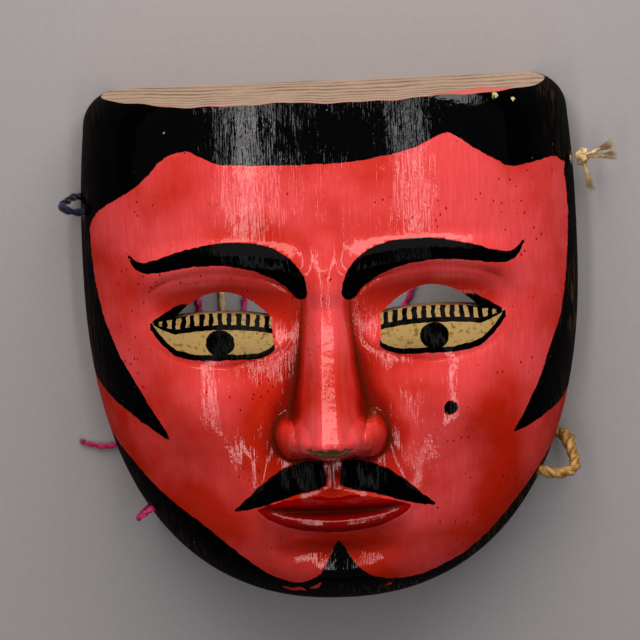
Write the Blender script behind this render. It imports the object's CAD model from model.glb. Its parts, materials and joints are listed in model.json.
# %% [markdown]
# # A carved dance mask, lying face up
#
# The real mask is one block of softwood. Its maker hollowed the back with a gouge, carved a face in front
# with a knife, and painted it with gloss enamel from the tin. Four short ties of yarn and cord are left in
# its holes. This lesson dresses a fixed frame of plain solids: it carves the same formulas much finer,
# paints the face by distances measured in millimetres, and spins each tie along its route.

# %% Load the frame
import json
from functools import partial

import bmesh
import bpy
import numpy as np
from mathutils import Matrix, Vector
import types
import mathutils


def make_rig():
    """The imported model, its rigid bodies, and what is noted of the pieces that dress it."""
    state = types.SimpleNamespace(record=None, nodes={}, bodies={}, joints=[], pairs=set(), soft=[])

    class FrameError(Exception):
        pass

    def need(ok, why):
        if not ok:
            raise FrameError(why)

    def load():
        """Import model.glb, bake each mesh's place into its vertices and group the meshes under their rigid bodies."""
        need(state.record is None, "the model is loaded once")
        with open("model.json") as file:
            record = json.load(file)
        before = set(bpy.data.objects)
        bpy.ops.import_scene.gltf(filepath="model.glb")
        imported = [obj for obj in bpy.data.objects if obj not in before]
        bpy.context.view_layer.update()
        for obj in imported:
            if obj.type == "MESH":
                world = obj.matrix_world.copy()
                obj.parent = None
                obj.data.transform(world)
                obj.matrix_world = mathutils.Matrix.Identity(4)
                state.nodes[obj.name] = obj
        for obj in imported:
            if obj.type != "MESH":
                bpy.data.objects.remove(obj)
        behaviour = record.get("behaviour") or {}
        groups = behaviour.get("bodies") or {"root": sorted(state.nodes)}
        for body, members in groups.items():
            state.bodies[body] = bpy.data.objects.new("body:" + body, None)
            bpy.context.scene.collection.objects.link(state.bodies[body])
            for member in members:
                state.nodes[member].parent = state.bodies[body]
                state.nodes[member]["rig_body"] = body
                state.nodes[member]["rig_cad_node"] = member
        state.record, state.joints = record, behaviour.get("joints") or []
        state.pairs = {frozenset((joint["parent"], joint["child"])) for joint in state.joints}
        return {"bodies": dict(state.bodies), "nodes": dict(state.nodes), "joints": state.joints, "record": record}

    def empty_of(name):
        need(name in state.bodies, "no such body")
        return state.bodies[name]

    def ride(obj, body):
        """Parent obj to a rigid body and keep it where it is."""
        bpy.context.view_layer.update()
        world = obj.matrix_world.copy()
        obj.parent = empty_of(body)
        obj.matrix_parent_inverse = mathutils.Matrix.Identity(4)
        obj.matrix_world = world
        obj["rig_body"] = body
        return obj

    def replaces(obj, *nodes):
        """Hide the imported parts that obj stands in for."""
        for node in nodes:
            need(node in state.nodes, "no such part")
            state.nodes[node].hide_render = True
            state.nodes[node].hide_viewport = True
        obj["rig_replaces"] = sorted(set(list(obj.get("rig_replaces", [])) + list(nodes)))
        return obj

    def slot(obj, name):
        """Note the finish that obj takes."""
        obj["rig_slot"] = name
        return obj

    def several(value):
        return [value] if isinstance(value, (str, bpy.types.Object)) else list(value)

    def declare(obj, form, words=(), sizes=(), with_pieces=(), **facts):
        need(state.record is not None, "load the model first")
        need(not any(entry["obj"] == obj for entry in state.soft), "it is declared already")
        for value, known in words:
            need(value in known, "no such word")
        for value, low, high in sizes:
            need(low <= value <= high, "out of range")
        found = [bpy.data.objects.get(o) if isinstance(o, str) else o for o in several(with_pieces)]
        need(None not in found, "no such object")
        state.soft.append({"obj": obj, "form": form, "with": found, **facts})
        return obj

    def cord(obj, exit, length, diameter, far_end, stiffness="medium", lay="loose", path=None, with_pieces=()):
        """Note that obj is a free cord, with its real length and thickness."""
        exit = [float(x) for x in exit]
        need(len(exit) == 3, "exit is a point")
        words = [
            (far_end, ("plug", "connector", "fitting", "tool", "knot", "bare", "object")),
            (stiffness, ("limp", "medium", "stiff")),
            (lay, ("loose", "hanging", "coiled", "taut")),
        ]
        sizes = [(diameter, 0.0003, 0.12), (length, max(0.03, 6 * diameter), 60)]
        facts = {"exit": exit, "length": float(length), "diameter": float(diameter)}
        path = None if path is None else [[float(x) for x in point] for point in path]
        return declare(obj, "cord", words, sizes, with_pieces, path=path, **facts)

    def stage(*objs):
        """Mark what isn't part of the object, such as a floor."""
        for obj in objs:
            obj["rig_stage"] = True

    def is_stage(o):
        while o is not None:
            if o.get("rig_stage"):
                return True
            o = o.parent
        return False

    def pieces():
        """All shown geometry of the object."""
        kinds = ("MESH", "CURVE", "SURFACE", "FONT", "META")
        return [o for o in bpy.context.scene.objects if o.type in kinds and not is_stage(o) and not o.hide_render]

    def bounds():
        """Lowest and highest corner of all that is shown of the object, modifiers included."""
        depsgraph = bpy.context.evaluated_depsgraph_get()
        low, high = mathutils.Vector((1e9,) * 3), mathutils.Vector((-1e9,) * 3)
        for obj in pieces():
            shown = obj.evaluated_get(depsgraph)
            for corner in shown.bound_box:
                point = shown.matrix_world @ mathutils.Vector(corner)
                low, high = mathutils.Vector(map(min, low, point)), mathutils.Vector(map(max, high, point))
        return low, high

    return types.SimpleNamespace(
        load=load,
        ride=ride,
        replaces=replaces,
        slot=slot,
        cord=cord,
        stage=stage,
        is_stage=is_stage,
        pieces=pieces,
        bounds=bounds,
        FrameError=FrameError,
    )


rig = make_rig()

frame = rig.load()
size_of_frame = [list(corner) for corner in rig.bounds()]
MM = 0.001
print("nodes:", ", ".join(sorted(frame["nodes"])))
print("frame's box in mm:", np.round(np.array(size_of_frame) / MM, 1).tolist())

# %% [markdown]
# ## The camera
#
# The mask was photographed nearly square on with a long lens: from a little above its forehead, a little to
# the right, and with the mask turned a touch in the picture. Here it lies on its back, so the camera looks
# down. A tracking constraint can't tell which way is up when it looks down, so the camera's three
# directions are worked out by hand: back along the view, right, and up.

# %% A camera that looks down
PHOTO_SIDE = 640
PIXELS_PER_MM = 2.77
CAMERA_AIM = Vector((-3.6, 10.4, 30)) * MM
CAMERA_DISTANCE = 900 * MM
CAMERA_TILT, CAMERA_YAW, MASK_ROLL = np.radians([8.1, 2.4, 2.5])


def facing(place, aim, up):
    """The matrix that looks from place to aim: back is place less aim, right is up across back."""
    back = (Vector(place) - Vector(aim)).normalized()
    right = Vector(up).cross(back).normalized()
    turned = Matrix((right, back.cross(right), back)).transposed().to_4x4()
    return Matrix.Translation(place) @ turned


def into_scene(name, data):
    """A new object that holds this data, linked to the scene."""
    made = bpy.data.objects.new(name, data)
    bpy.context.scene.collection.objects.link(made)
    return made


camera = into_scene("camera", bpy.data.cameras.new("camera"))
bpy.context.scene.camera = camera
camera_back = Vector((np.tan(CAMERA_YAW), np.tan(CAMERA_TILT), 1)).normalized()
camera_up = (np.sin(MASK_ROLL), np.cos(MASK_ROLL), 0)
camera.matrix_world = facing(CAMERA_AIM + camera_back * CAMERA_DISTANCE, CAMERA_AIM, camera_up)
camera.data.lens = camera.data.sensor_width * CAMERA_DISTANCE / MM * PIXELS_PER_MM / PHOTO_SIDE
print("lens in mm:", round(camera.data.lens, 1))


def pixels(points):
    """Where points fall in the picture: their side and height over their depth, times the lens."""
    to_camera = np.array(camera.matrix_world.inverted())
    local = np.array(points) @ to_camera[:3, :3].T + to_camera[:3, 3]
    scale = camera.data.lens / camera.data.sensor_width * PHOTO_SIDE / -local[:, 2:]
    return PHOTO_SIDE / 2 + local[:, :2] * scale * (1, -1)


mask_vertices = np.array([v.co for v in frame["nodes"]["mask_body"].data.vertices])
seen = pixels(mask_vertices)
print("mask in the picture, pixels:", seen.min(axis=0).round().tolist(), seen.max(axis=0).round().tolist())

# %% [markdown]
# ## The block and its face as one formula
#
# The face is a height over the floor for each place (x, y), worked out from a few sizes. The ties leave
# through holes drilled square to its wall, so the formula comes before the ties. It is the same one as the
# frame's, so the finer carving and the frame's solid agree. The face is a plain one: three equal thirds,
# five eyes wide.

# %% Sizes of the block
WIDTH = 182 * MM
HEIGHT = 190 * MM
DOME_DEPTH = 66 * MM
WIDEST_Y = 30 * MM
UPPER_TAPER = 190 * MM
TOP_CORNER = 12 * MM
TOP_SLOPE = 0.07
FOREHEAD_FALL = 8 * MM
OUTLINE_POWER = 2.3
SIDE_POWER, CHIN_POWER = 3.0, 4.2
SIDE_ROUND, CHIN_ROUND = 0.5, 0.32
SIDE_WALL = 9 * MM
CHIN_WALL = 10 * MM
TOP_WALL = 15 * MM
FACE_WALL = 11 * MM
NOSE_HOLLOW = 10 * MM
HOLLOW_CORNER_POWER = 6.0
FADE_POWER = 8
RIM_RELIEF = 8 * MM
RELIEF_TOP = 16 * MM
RELIEF_CHIN = 9 * MM
EYE = WIDTH / 5
THIRD = HEIGHT / 3
TOP_Y, CHIN_Y = HEIGHT / 2, -HEIGHT / 2
BROW_LEVEL, EYE_LEVEL, NOSE_BASE_LEVEL = 2.0, 1.75, 1.0
MOUTH_LEVEL, CHIN_GROOVE_LEVEL, CHIN_BOSS_LEVEL = 0.667, 0.41, 0.21
EYE_Y = CHIN_Y + EYE_LEVEL * THIRD
print("an eye's width and a third in mm:", round(EYE / MM, 1), round(THIRD / MM, 1))

# %% Sizes of the carving
NOSE_TIP_RISE = 24 * MM
NOSE_BRIDGE_RISE = 4 * MM
NOSE_WING_RISE = 11 * MM
NOSE_FILLET = 0.15
SOCKET_SINK = 6.5 * MM
EYEBALL_RISE = 4 * MM
UNDER_EYE_SINK = 1.6 * MM
BROW_RISE = 3.5 * MM
BETWEEN_BROWS_RISE = 2 * MM
CHEEK_RISE = 5 * MM
MUZZLE_RISE = 4 * MM
UPPER_LIP_RISE = 3.8 * MM
LOWER_LIP_RISE = 4.5 * MM
LIP_LINE_SINK = 2.6 * MM
CHIN_RISE = 7 * MM
CHIN_GROOVE_SINK = 3.5 * MM


# %% The carved features
def smooth(share):
    """0 below 0, 1 above 1, and between them three times the square less twice the cube."""
    held = np.clip(share, 0, 1)
    return held * held * (3 - 2 * held)


def swelling(across, level, at_across, at_level, half_across, half_level):
    """A bell of height 1, in eye widths from the middle and thirds above the chin."""
    return np.exp(-(((across - at_across) / half_across) ** 2) - ((level - at_level) / half_level) ** 2)


def nose(across, level):
    """A rounded wedge that rises from the eyes to the tip, and the greater of it and a wing each side."""
    bridge, tip = EYE_LEVEL + 0.06, NOSE_BASE_LEVEL + 0.11
    down = np.clip((bridge - level) / (bridge - tip), 0, 1)
    rise = NOSE_BRIDGE_RISE + (NOSE_TIP_RISE - NOSE_BRIDGE_RISE) * down**1.1
    half = 0.22 + 0.2 * down**1.5
    flank = np.sqrt(np.clip(1 - smooth((across / half - 0.12) / 0.95), 0, 1))
    flank = flank**2 / (flank + NOSE_FILLET) * (1 + NOSE_FILLET)
    root = smooth((BROW_LEVEL + 0.095 - level) / 0.22)
    below_tip = np.clip((tip - level) / 0.134, 0, 1)
    wedge = rise * flank * root * np.sqrt(1 - below_tip**2)
    far = ((across - 0.36) / 0.19) ** 2 + ((level - NOSE_BASE_LEVEL - 0.1) / 0.14) ** 2
    wings = NOSE_WING_RISE * np.clip(1 - far, 0, 1) ** 1.15
    return np.maximum(wedge, wings) + 0.35 * np.minimum(wedge, wings)


def eyes(across, level):
    """A flat-bottomed socket under each brow, with the eyeball's bell swelling in it."""
    far = ((across - 1) / 0.66) ** 2 + ((level - EYE_LEVEL - 0.03) / 0.174) ** 2
    ball = EYEBALL_RISE * swelling(across, level, 1, EYE_LEVEL - 0.05, 0.5, 0.126)
    return ball - SOCKET_SINK * np.exp(-(far**1.4))


def brows(across, level):
    """A bell-shaped ridge along each brow's arch, and a swelling between them."""
    line = BROW_LEVEL + 0.08 - 0.126 * ((across - 0.9) / 1.1) ** 2
    ends = smooth((across - 0.11) / 0.27) * smooth((2 - across) / 0.44)
    ridge = BROW_RISE * ends * np.exp(-(((level - line) / 0.103) ** 2))
    return ridge + BETWEEN_BROWS_RISE * swelling(across, level, 0, BROW_LEVEL + 0.03, 0.27, 0.14)


def cheeks(across, level):
    """The cheek's bell less a shallow one under the eye."""
    apple = CHEEK_RISE * swelling(across, level, 1.35, NOSE_BASE_LEVEL + 0.25, 0.55, 0.3)
    return apple - UNDER_EYE_SINK * swelling(across, level, 0.85, EYE_LEVEL - 0.24, 0.38, 0.095)


def mouth(across, level):
    """Two lips, each a bell across its own line, less the narrow bell of the line between them."""
    share = across / 0.75
    taper = np.clip(1 - share**2, 0, 1) ** 0.7
    upper_level = MOUTH_LEVEL + 0.0616 * (1 - 0.7 * share**2)
    lower_level = MOUTH_LEVEL - 0.0758 * (1 - 0.6 * share**2)
    upper = UPPER_LIP_RISE * taper * np.exp(-(((level - upper_level) / 0.049) ** 2))
    lower = LOWER_LIP_RISE * taper * np.exp(-(((level - lower_level) / 0.0616) ** 2))
    line_level = MOUTH_LEVEL + 0.02 * share**2
    line = LIP_LINE_SINK * np.clip(1 - share**4, 0, 1) * np.exp(-(((level - line_level) / 0.024) ** 2))
    return upper + lower - line + MUZZLE_RISE * swelling(across, level, 0, MOUTH_LEVEL + 0.047, 0.74, 0.27)


def chin(across, level):
    """The chin's bell less the groove above it."""
    boss = CHIN_RISE * swelling(across, level, 0, CHIN_BOSS_LEVEL, 0.55, 0.19)
    return boss - CHIN_GROOVE_SINK * swelling(across, level, 0, CHIN_GROOVE_LEVEL, 0.55, 0.079)


def face_units(x, y):
    """How far a place lies from the middle, in eye widths, and above the chin, in thirds."""
    return np.abs(x) / EYE, (y - CHIN_Y) / THIRD


def carving(x, y):
    """The sum of the features at (x, y)."""
    return sum(feature(*face_units(x, y)) for feature in (nose, eyes, brows, cheeks, mouth, chin))


# %% The block's outline, dome and hollow
def half_width(y):
    """Half the width: a superellipse above the widest line, less a quarter circle in each top corner."""
    up = np.clip((y - WIDEST_Y) / UPPER_TAPER, 0, 1)
    taper = WIDTH / 2 * (1 - up**OUTLINE_POWER) ** (1 / OUTLINE_POWER)
    into_corner = np.clip(y - (TOP_Y - TOP_CORNER), 0, TOP_CORNER)
    return taper - (TOP_CORNER - np.sqrt(TOP_CORNER**2 - into_corner**2))


def share_down(y, chin_wall=0.0):
    """0 at and above the widest line, and 1 at the chin."""
    return np.clip((WIDEST_Y - y) / (WIDEST_Y - CHIN_Y - chin_wall), 0, 1)


def rim_x(y):
    """The outline's distance from the middle at y, on a superellipse below the widest line."""
    return float(half_width(y) * (1 - share_down(y) ** OUTLINE_POWER) ** (1 / OUTLINE_POWER))


def superellipse(across, down, power):
    """A superellipse's own radius: the sum of a power of both shares, to the root."""
    return (across**power + down**power) ** (1 / power)


def outer_gauge(x, y):
    """0 in the middle of the block and 1 on its outline."""
    return np.clip(superellipse(np.abs(x) / half_width(y), share_down(y), OUTLINE_POWER), 0, 1)


def dome(gauge, down):
    """One less a power of the gauge, to a root: 1 in the middle, 0 on the outline, steeper at the chin."""
    share = smooth(down)
    power = SIDE_POWER + (CHIN_POWER - SIDE_POWER) * share
    roundness = SIDE_ROUND + (CHIN_ROUND - SIDE_ROUND) * share
    return (1 - gauge**power) ** roundness


def relief(y):
    """How far the rim stands off the floor: a flat arch, one less the fourth power, along each side."""
    top, bottom = TOP_Y - RELIEF_TOP, CHIN_Y + RELIEF_CHIN
    return RIM_RELIEF * np.clip(1 - ((y - (top + bottom) / 2) / ((top - bottom) / 2)) ** 4, 0, 1)


def front(x, y):
    """The face's height: the dome less the forehead's fall, plus the carving, which fades at the outline."""
    gauge = outer_gauge(x, y)
    swell = dome(gauge, share_down(y))
    brow_y = CHIN_Y + BROW_LEVEL * THIRD
    up = np.clip((y - brow_y) / (TOP_Y - brow_y), 0, 1)
    plain = swell * (DOME_DEPTH - FOREHEAD_FALL * up**2)
    return plain + carving(x, y) * (1 - gauge**FADE_POWER) + relief(y) * (1 - swell) ** 2


def back(x, y):
    """Height of the hollow's roof: a smaller dome, with room behind the nose and a wall at the top."""
    down = share_down(y, CHIN_WALL)
    up = np.clip((y - WIDEST_Y) / (TOP_Y - TOP_WALL - WIDEST_Y), 0, 1)
    across = np.abs(x) / (WIDTH / 2 - SIDE_WALL)
    lower = superellipse(across, down, OUTLINE_POWER)
    upper = superellipse(across, up, HOLLOW_CORNER_POWER)
    gauge = np.clip(np.where(y < WIDEST_Y, lower, upper), 0, 1)
    swell = dome(gauge, down)
    under_nose = swelling(*face_units(x, y), 0, NOSE_BASE_LEVEL + 0.33, 0.385, 0.38)
    roof = swell * (DOME_DEPTH - FACE_WALL) + NOSE_HOLLOW * under_nose * (1 - gauge**FADE_POWER)
    return roof + relief(y) * (1 - swell) ** 2


print("forehead's height in mm:", round(float(front(np.array(0.0), np.array(60 * MM))) / MM, 1))

# %% [markdown]
# ## The ties' routes
#
# Each tie goes up through the hollow, out of a hole drilled square to the wall, over the rim's edge and
# back in along the floor. A tie is limp, so it lies on the floor wherever nothing lifts it. Curve objects
# with a bevel would be quick, but a bevel is a plain pipe, so only the route is taken here and the yarn is
# spun round it. The routes' own points are chosen by hand, and a smooth curve passes through all of them.

# %% Sizes of the ties and their holes
NAVY_YARN = 3.0 * MM
MAGENTA_YARN = 2.4 * MM
COTTON_CORD = 2.6 * MM
TAN_CORD = 4.4 * MM
LEFT, RIGHT = -1, 1
NAVY_HOLE = (LEFT, 52 * MM, 22 * MM)
MAGENTA_HOLE = (LEFT, -56 * MM, 33 * MM)
COTTON_HOLE = (RIGHT, 64 * MM, 14 * MM)
TAN_HOLE = (RIGHT, -48 * MM, 27 * MM)
NAVY_TURN_Y = 56 * MM
MAGENTA_TURN_Y = -60 * MM
TAN_TURN_Y = -38 * MM
BEND = 2.3
HOLE_PLAY = 1.4 * MM
DRILL_REACH = 16 * MM
SKIN_GAP = 0.4 * MM
FLOOR_GAP = 0.25 * MM
JOINT_GAP = 0.5 * MM


# %% Helpers for the routes
def distances_along(points):
    """How far each point of a route lies along it: the sum of the steps before it."""
    return np.concatenate([[0], np.cumsum(np.linalg.norm(np.diff(points, axis=0), axis=1))])


def smooth_route(points, step, lowest=-1.0):
    """Points a step apart on the Catmull-Rom curve through the route's own points."""
    route = np.array(points, float)
    padded = np.concatenate([2 * route[:1] - route[1:2], route, 2 * route[-1:] - route[-2:-1]])
    share = np.linspace(0, 1, 12, endpoint=False)[:, None]
    curve = []
    for a, b, c, d in zip(padded, padded[1:], padded[2:], padded[3:]):
        square = (2 * a - 5 * b + 4 * c - d) * share**2
        cube = (3 * b - a - 3 * c + d) * share**3
        curve.append(0.5 * (2 * b + (c - a) * share + square + cube))
    fine = np.concatenate(curve + [route[-1:]])
    along = distances_along(fine)
    at = np.linspace(0, along[-1], max(2, round(along[-1] / step)) + 1)
    spaced = np.stack([np.interp(at, along, fine[:, axis]) for axis in range(route.shape[1])], axis=1)
    if route.shape[1] == 3:
        spaced[:, 2] = np.maximum(spaced[:, 2], lowest)
    return spaced


def wall_place(hole):
    """The point on the outer wall at a hole's height, found by halving, and the wall's direction outwards."""
    side, y, z = hole
    near, far = 0.5 * rim_x(y), rim_x(y)
    for _ in range(40):
        middle = (near + far) / 2
        near, far = (near, middle) if front(middle, y) < z else (middle, far)
    step = 0.1 * MM
    slope_x = (front(near + step, y) - front(near - step, y)) / (2 * step)
    slope_y = (front(near, y + step) - front(near, y - step)) / (2 * step)
    return Vector((side * near, y, z)), Vector((-side * slope_x, -slope_y, 1)).normalized()


def through_hole(hole):
    """A tie's straight way through the wall, from inside to outside."""
    place, outwards = wall_place(hole)
    return [place - outwards * reach for reach in (13 * MM, 8 * MM, 3 * MM)]


def bend_over(hole, towards, radius):
    """From a hole's mouth, a quarter turn to run down the wall towards a point."""
    place, outwards = wall_place(hole)
    along = towards - place
    along = (along - outwards * along.dot(outwards)).normalized()
    turns = np.radians([20, 55, 90])
    return [place + outwards * radius * np.sin(turn) + along * radius * (1 - np.cos(turn)) for turn in turns]


def rim_turn(side, y, cord):
    """Round the rim's edge at y on an arc of two cord widths, down and then inwards along the floor."""
    step = 0.1 * MM
    slope = (rim_x(y + step) - rim_x(y - step)) / (2 * step)
    outwards = Vector((side, -slope, 0)).normalized()
    radius = 2 * cord
    height = radius + cord / 2 + FLOOR_GAP
    reach = radius - cord / 2 - SKIN_GAP
    inset = np.sqrt(max(reach**2 - (height - relief(y)) ** 2, 0)) - cord / 3
    middle = Vector((side * rim_x(y), y, height)) - outwards * inset
    turns = np.radians([0, 30, 60, 90])
    return [
        middle + outwards * radius * np.cos(turn) - Vector((0, 0, radius * np.sin(turn)))
        for turn in turns
    ]


def on_skin(side, y, z, cord):
    """A point beside the outer wall, clear of it by half the cord."""
    place, outwards = wall_place((side, y, z))
    return place + outwards * (cord / 2 + SKIN_GAP)


def raised(points):
    """Route points given in millimetres."""
    return [Vector(point) * MM for point in points]


def on_floor(pairs, cord):
    """Route points lying on the floor, given as (x, y) in millimetres."""
    return [Vector((x * MM, y * MM, cord / 2 + FLOOR_GAP)) for x, y in pairs]


# %% The four routes
RINGS_PER_WIDTH = 4


def navy_route():
    """Up from the hollow, out of the hole, round the rim and back in, with the rest lying inside."""
    up = on_floor([(-61, 34), (-62, 42)], NAVY_YARN) + raised([(-64.5, 48.5, 8), (-70.5, 50.5, 16)])
    turn = rim_turn(LEFT, NAVY_TURN_Y, NAVY_YARN)
    over = bend_over(NAVY_HOLE, turn[0], BEND * NAVY_YARN)
    tail = on_floor(
        [(-79, 57.5), (-70, 60), (-60, 58), (-53.5, 50), (-54, 36), (-59, 18), (-59, 0), (-59, -14),
         (-61, -21), (-66.5, -24), (-72, -21), (-74, -14), (-73, 0), (-72, 16)],
        NAVY_YARN,
    )
    return up + through_hole(NAVY_HOLE)[1:] + over + turn + tail


def magenta_route():
    """From its loose end beside the mask, in under the rim, out of the hole, round the rim and back in."""
    loose = on_floor([(-95, -37), (-89, -38.5), (-82, -38.2), (-73, -40), (-64, -44)], MAGENTA_YARN)
    up = raised([(-56, -47, 5), (-51, -48.5, 13)])
    turn = rim_turn(LEFT, MAGENTA_TURN_Y, MAGENTA_YARN)
    over = bend_over(MAGENTA_HOLE, turn[0], BEND * MAGENTA_YARN)
    down = [on_skin(LEFT, -58.5 * MM, 17 * MM, MAGENTA_YARN)]
    tail = on_floor(
        [(-59, -53), (-53, -44), (-50, -25), (-49, 0), (-50, 25), (-47.5, 46),
         (-40.5, 54), (-33.5, 46), (-32, 25), (-33, 5), (-28, -8), (-18, -12), (-6, -9), (8, -3), (22, 5),
         (30, 17), (32, 33), (38, 46), (50, 53)],
        MAGENTA_YARN,
    )
    return loose + up + through_hole(MAGENTA_HOLE) + over + down + turn + tail


def cotton_route():
    """From the knot outside, in through the hole and along the floor, over the magenta yarn."""
    place, outwards = wall_place(COTTON_HOLE)
    through = [place + outwards * 0.1 * MM, place - outwards * 6 * MM, place - outwards * 12 * MM]
    down = raised([(69, 63, 6)])
    first = on_floor([(61, 63), (44, 67), (22, 70), (0, 71), (-18, 70)], COTTON_CORD)
    hump = raised([(-31, 66, 2.2), (-38.5, 57, 4.4), (-41, 49, 3.6)])
    last = on_floor([(-41.5, 36), (-41, 18), (-41, -2), (-38, -20), (-40, -38)], COTTON_CORD)
    return through + down + first + hump + last


def tan_route():
    """Out of the lower right hole, down the wall and back in under the rim."""
    turn = rim_turn(RIGHT, TAN_TURN_Y, TAN_CORD)
    over = bend_over(TAN_HOLE, turn[0], BEND * TAN_CORD)
    return through_hole(TAN_HOLE) + over + turn + on_floor([(68, -33), (60, -30)], TAN_CORD)


routes, lengths = {}, {}
for name, own_points, width in (
    ("navy", navy_route(), NAVY_YARN),
    ("magenta", magenta_route(), MAGENTA_YARN),
    ("cotton", cotton_route(), COTTON_CORD),
    ("tan", tan_route(), TAN_CORD),
):
    routes[name] = smooth_route(own_points, width / RINGS_PER_WIDTH, width / 2 + FLOOR_GAP)
    lengths[name] = float(np.linalg.norm(np.diff(routes[name], axis=0), axis=1).sum())
    print(name, "tie:", round(lengths[name] / MM), "mm long")

# %% [markdown]
# ## Spinning a yarn
#
# Yarn is a few plies twisted round each other, and its outline across is a row of lobes that turns as it
# goes along. The plies could be separate pipes, but their hidden insides would double the faces, so one
# skin follows the outside of all of them. Its two walls are parameters: how far along, and which way round.


# %% A skin along a path
def carried_frames(route):
    """The path's direction, and two directions square to it that are carried along it without spinning."""
    ahead = np.gradient(route, axis=0)
    ahead /= np.linalg.norm(ahead, axis=1, keepdims=True)
    side = np.cross(ahead[0], (0.3, 0.2, 0.9))
    sides = []
    for direction in ahead:
        side = side - direction * (side @ direction)
        side = side / np.linalg.norm(side)
        sides.append(side)
    return ahead, np.array(sides), np.cross(ahead, np.array(sides))


def tube_faces(tubes, rings, around):
    """Point numbers of the four-sided faces and flat ends, for points in order tube, ring, place round."""
    index = np.arange(tubes * rings * around).reshape(tubes, rings, around)
    turned = np.roll(index, -1, axis=2)
    walls = np.stack([index[:, :-1], turned[:, :-1], turned[:, 1:], index[:, 1:]], axis=-1).reshape(-1, 4)
    ends = np.concatenate([index[:, 0, ::-1], index[:, -1]])
    return walls, ends


def tube_uv(tubes, rings, around, along):
    """Each face corner's place: along the tube in millimetres, and once round as 0 to 1."""
    u = np.broadcast_to((along / MM)[None, :, None], (tubes, rings, around + 1))
    v = np.broadcast_to(np.linspace(0, 1, around + 1)[None, None], u.shape)
    both = np.stack([u, v], axis=-1)
    corners = [both[:, :-1, :-1], both[:, :-1, 1:], both[:, 1:, 1:], both[:, 1:, :-1]]
    return np.stack(corners, axis=3).reshape(-1, 4, 2)


def mesh_piece(name, parts, look):
    """One object from several parts, each its points, four-sided faces, end faces and face corners' UVs."""
    offsets = np.cumsum([0] + [len(points) for points, _, _, _ in parts])
    walls = np.concatenate([part[1] + start for part, start in zip(parts, offsets)])
    ends = [tuple(end) for part, start in zip(parts, offsets) for end in (part[2] + start).tolist()]
    mesh = bpy.data.meshes.new(name)
    mesh.from_pydata(np.concatenate([part[0] for part in parts]), [], walls.tolist() + ends)
    places = np.zeros((len(mesh.loops), 2), np.float32)
    places[: walls.size] = np.concatenate([part[3] for part in parts]).reshape(-1, 2)
    mesh.uv_layers.new(name="along_and_round").data.foreach_set("uv", places.ravel())
    mesh.shade_smooth()
    piece = into_scene(name, mesh)
    piece.data.materials.append(look)
    print(name, "has", sum(len(face.vertices) - 2 for face in mesh.polygons), "triangles")
    return piece


# %% Plies twisted round each other
AROUND = 24
PLY_RADIUS = {2: 0.62, 3: 0.53, 4: 0.46}


def plied(route, width, plies, turn, swell=None):
    """A twisted skin: at each angle, the far side of the nearest ply's circle from the yarn's middle."""
    ahead, side, up = carried_frames(route)
    along = distances_along(route)
    angle = np.linspace(0, 2 * np.pi, AROUND, endpoint=False)
    turned = angle[None] - 2 * np.pi * along[:, None] / turn
    off_ply = np.mod(turned, 2 * np.pi / plies) - np.pi / plies
    ply = PLY_RADIUS[plies]
    reach = (1 - ply) * np.cos(off_ply) + np.sqrt(ply**2 - ((1 - ply) * np.sin(off_ply)) ** 2)
    swell = np.ones(len(route)) if swell is None else swell
    radius = (width / 2 * reach * swell[:, None])[..., None]
    points = route[:, None] + radius * (
        np.cos(angle)[None, :, None] * side[:, None] + np.sin(angle)[None, :, None] * up[:, None]
    )
    walls, ends = tube_faces(1, len(route), AROUND)
    return points.reshape(-1, 3), walls, ends, tube_uv(1, len(route), AROUND, along)


# %% [markdown]
# ## Loose fibres
#
# Wool and cotton are short fibres, and some stand out of the yarn. They catch the light and soften its
# edge. Hair particles would be lost in an export, so each fibre is a thin three-sided tube with only five
# rings, bent once. The same function makes the brushes of fibre at the frayed ends.

# %% Fibres
FIBRE_SIDES = 3
FIBRE_RINGS = 5


def fibres(roots, middles, tips, thickness):
    """Thin tubes on the parabola from each root past its middle point to its tip, tapering to a third."""
    share = np.linspace(0, 1, FIBRE_RINGS)[None, :, None]
    start, bend, end = roots[:, None], middles[:, None], tips[:, None]
    line = start * (1 - share) ** 2 + 2 * bend * share * (1 - share) + end * share**2
    ahead = np.gradient(line, axis=1)
    side = np.cross(ahead, (0.37, 0.21, 0.91))
    side /= np.linalg.norm(side, axis=2, keepdims=True)
    up = np.cross(ahead, side)
    up /= np.linalg.norm(up, axis=2, keepdims=True)
    angle = 2 * np.pi * np.arange(FIBRE_SIDES) / FIBRE_SIDES
    spoke = np.cos(angle)[:, None] * side[:, :, None] + np.sin(angle)[:, None] * up[:, :, None]
    radius = thickness / 2 * np.linspace(1, 0.33, FIBRE_RINGS)[None, :, None, None]
    points = line[:, :, None] + radius * spoke
    points[..., 2] = np.maximum(points[..., 2], 0.05 * MM)
    walls, ends = tube_faces(len(roots), FIBRE_RINGS, FIBRE_SIDES)
    along = np.linspace(0, 3 * MM, FIBRE_RINGS)
    return points.reshape(-1, 3), walls, ends, tube_uv(len(roots), FIBRE_RINGS, FIBRE_SIDES, along)


def fuzz(route, width, count, reach, thickness, draw):
    """Fibres that leave the yarn at random places, lean along it and curl back towards it."""
    ahead, side, up = carried_frames(route)
    at = draw.integers(2, len(route) - 2, count)
    angle = draw.uniform(0, 2 * np.pi, (count, 1))
    outwards = np.cos(angle) * side[at] + np.sin(angle) * up[at]
    sideways = -np.sin(angle) * side[at] + np.cos(angle) * up[at]
    along = ahead[at] * draw.choice([-1, 1], (count, 1))
    size = draw.uniform(0.5, 1, (count, 1)) * reach
    root = route[at] + outwards * width * 0.42
    middle = root + outwards * size * 1.1 + along * size * draw.uniform(0.2, 1.0, (count, 1))
    tip = root + outwards * size * draw.uniform(0.1, 0.7, (count, 1)) + along * size * 1.6
    tip += sideways * size * draw.uniform(-0.8, 0.8, (count, 1))
    return fibres(root, middle, tip, thickness)


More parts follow.
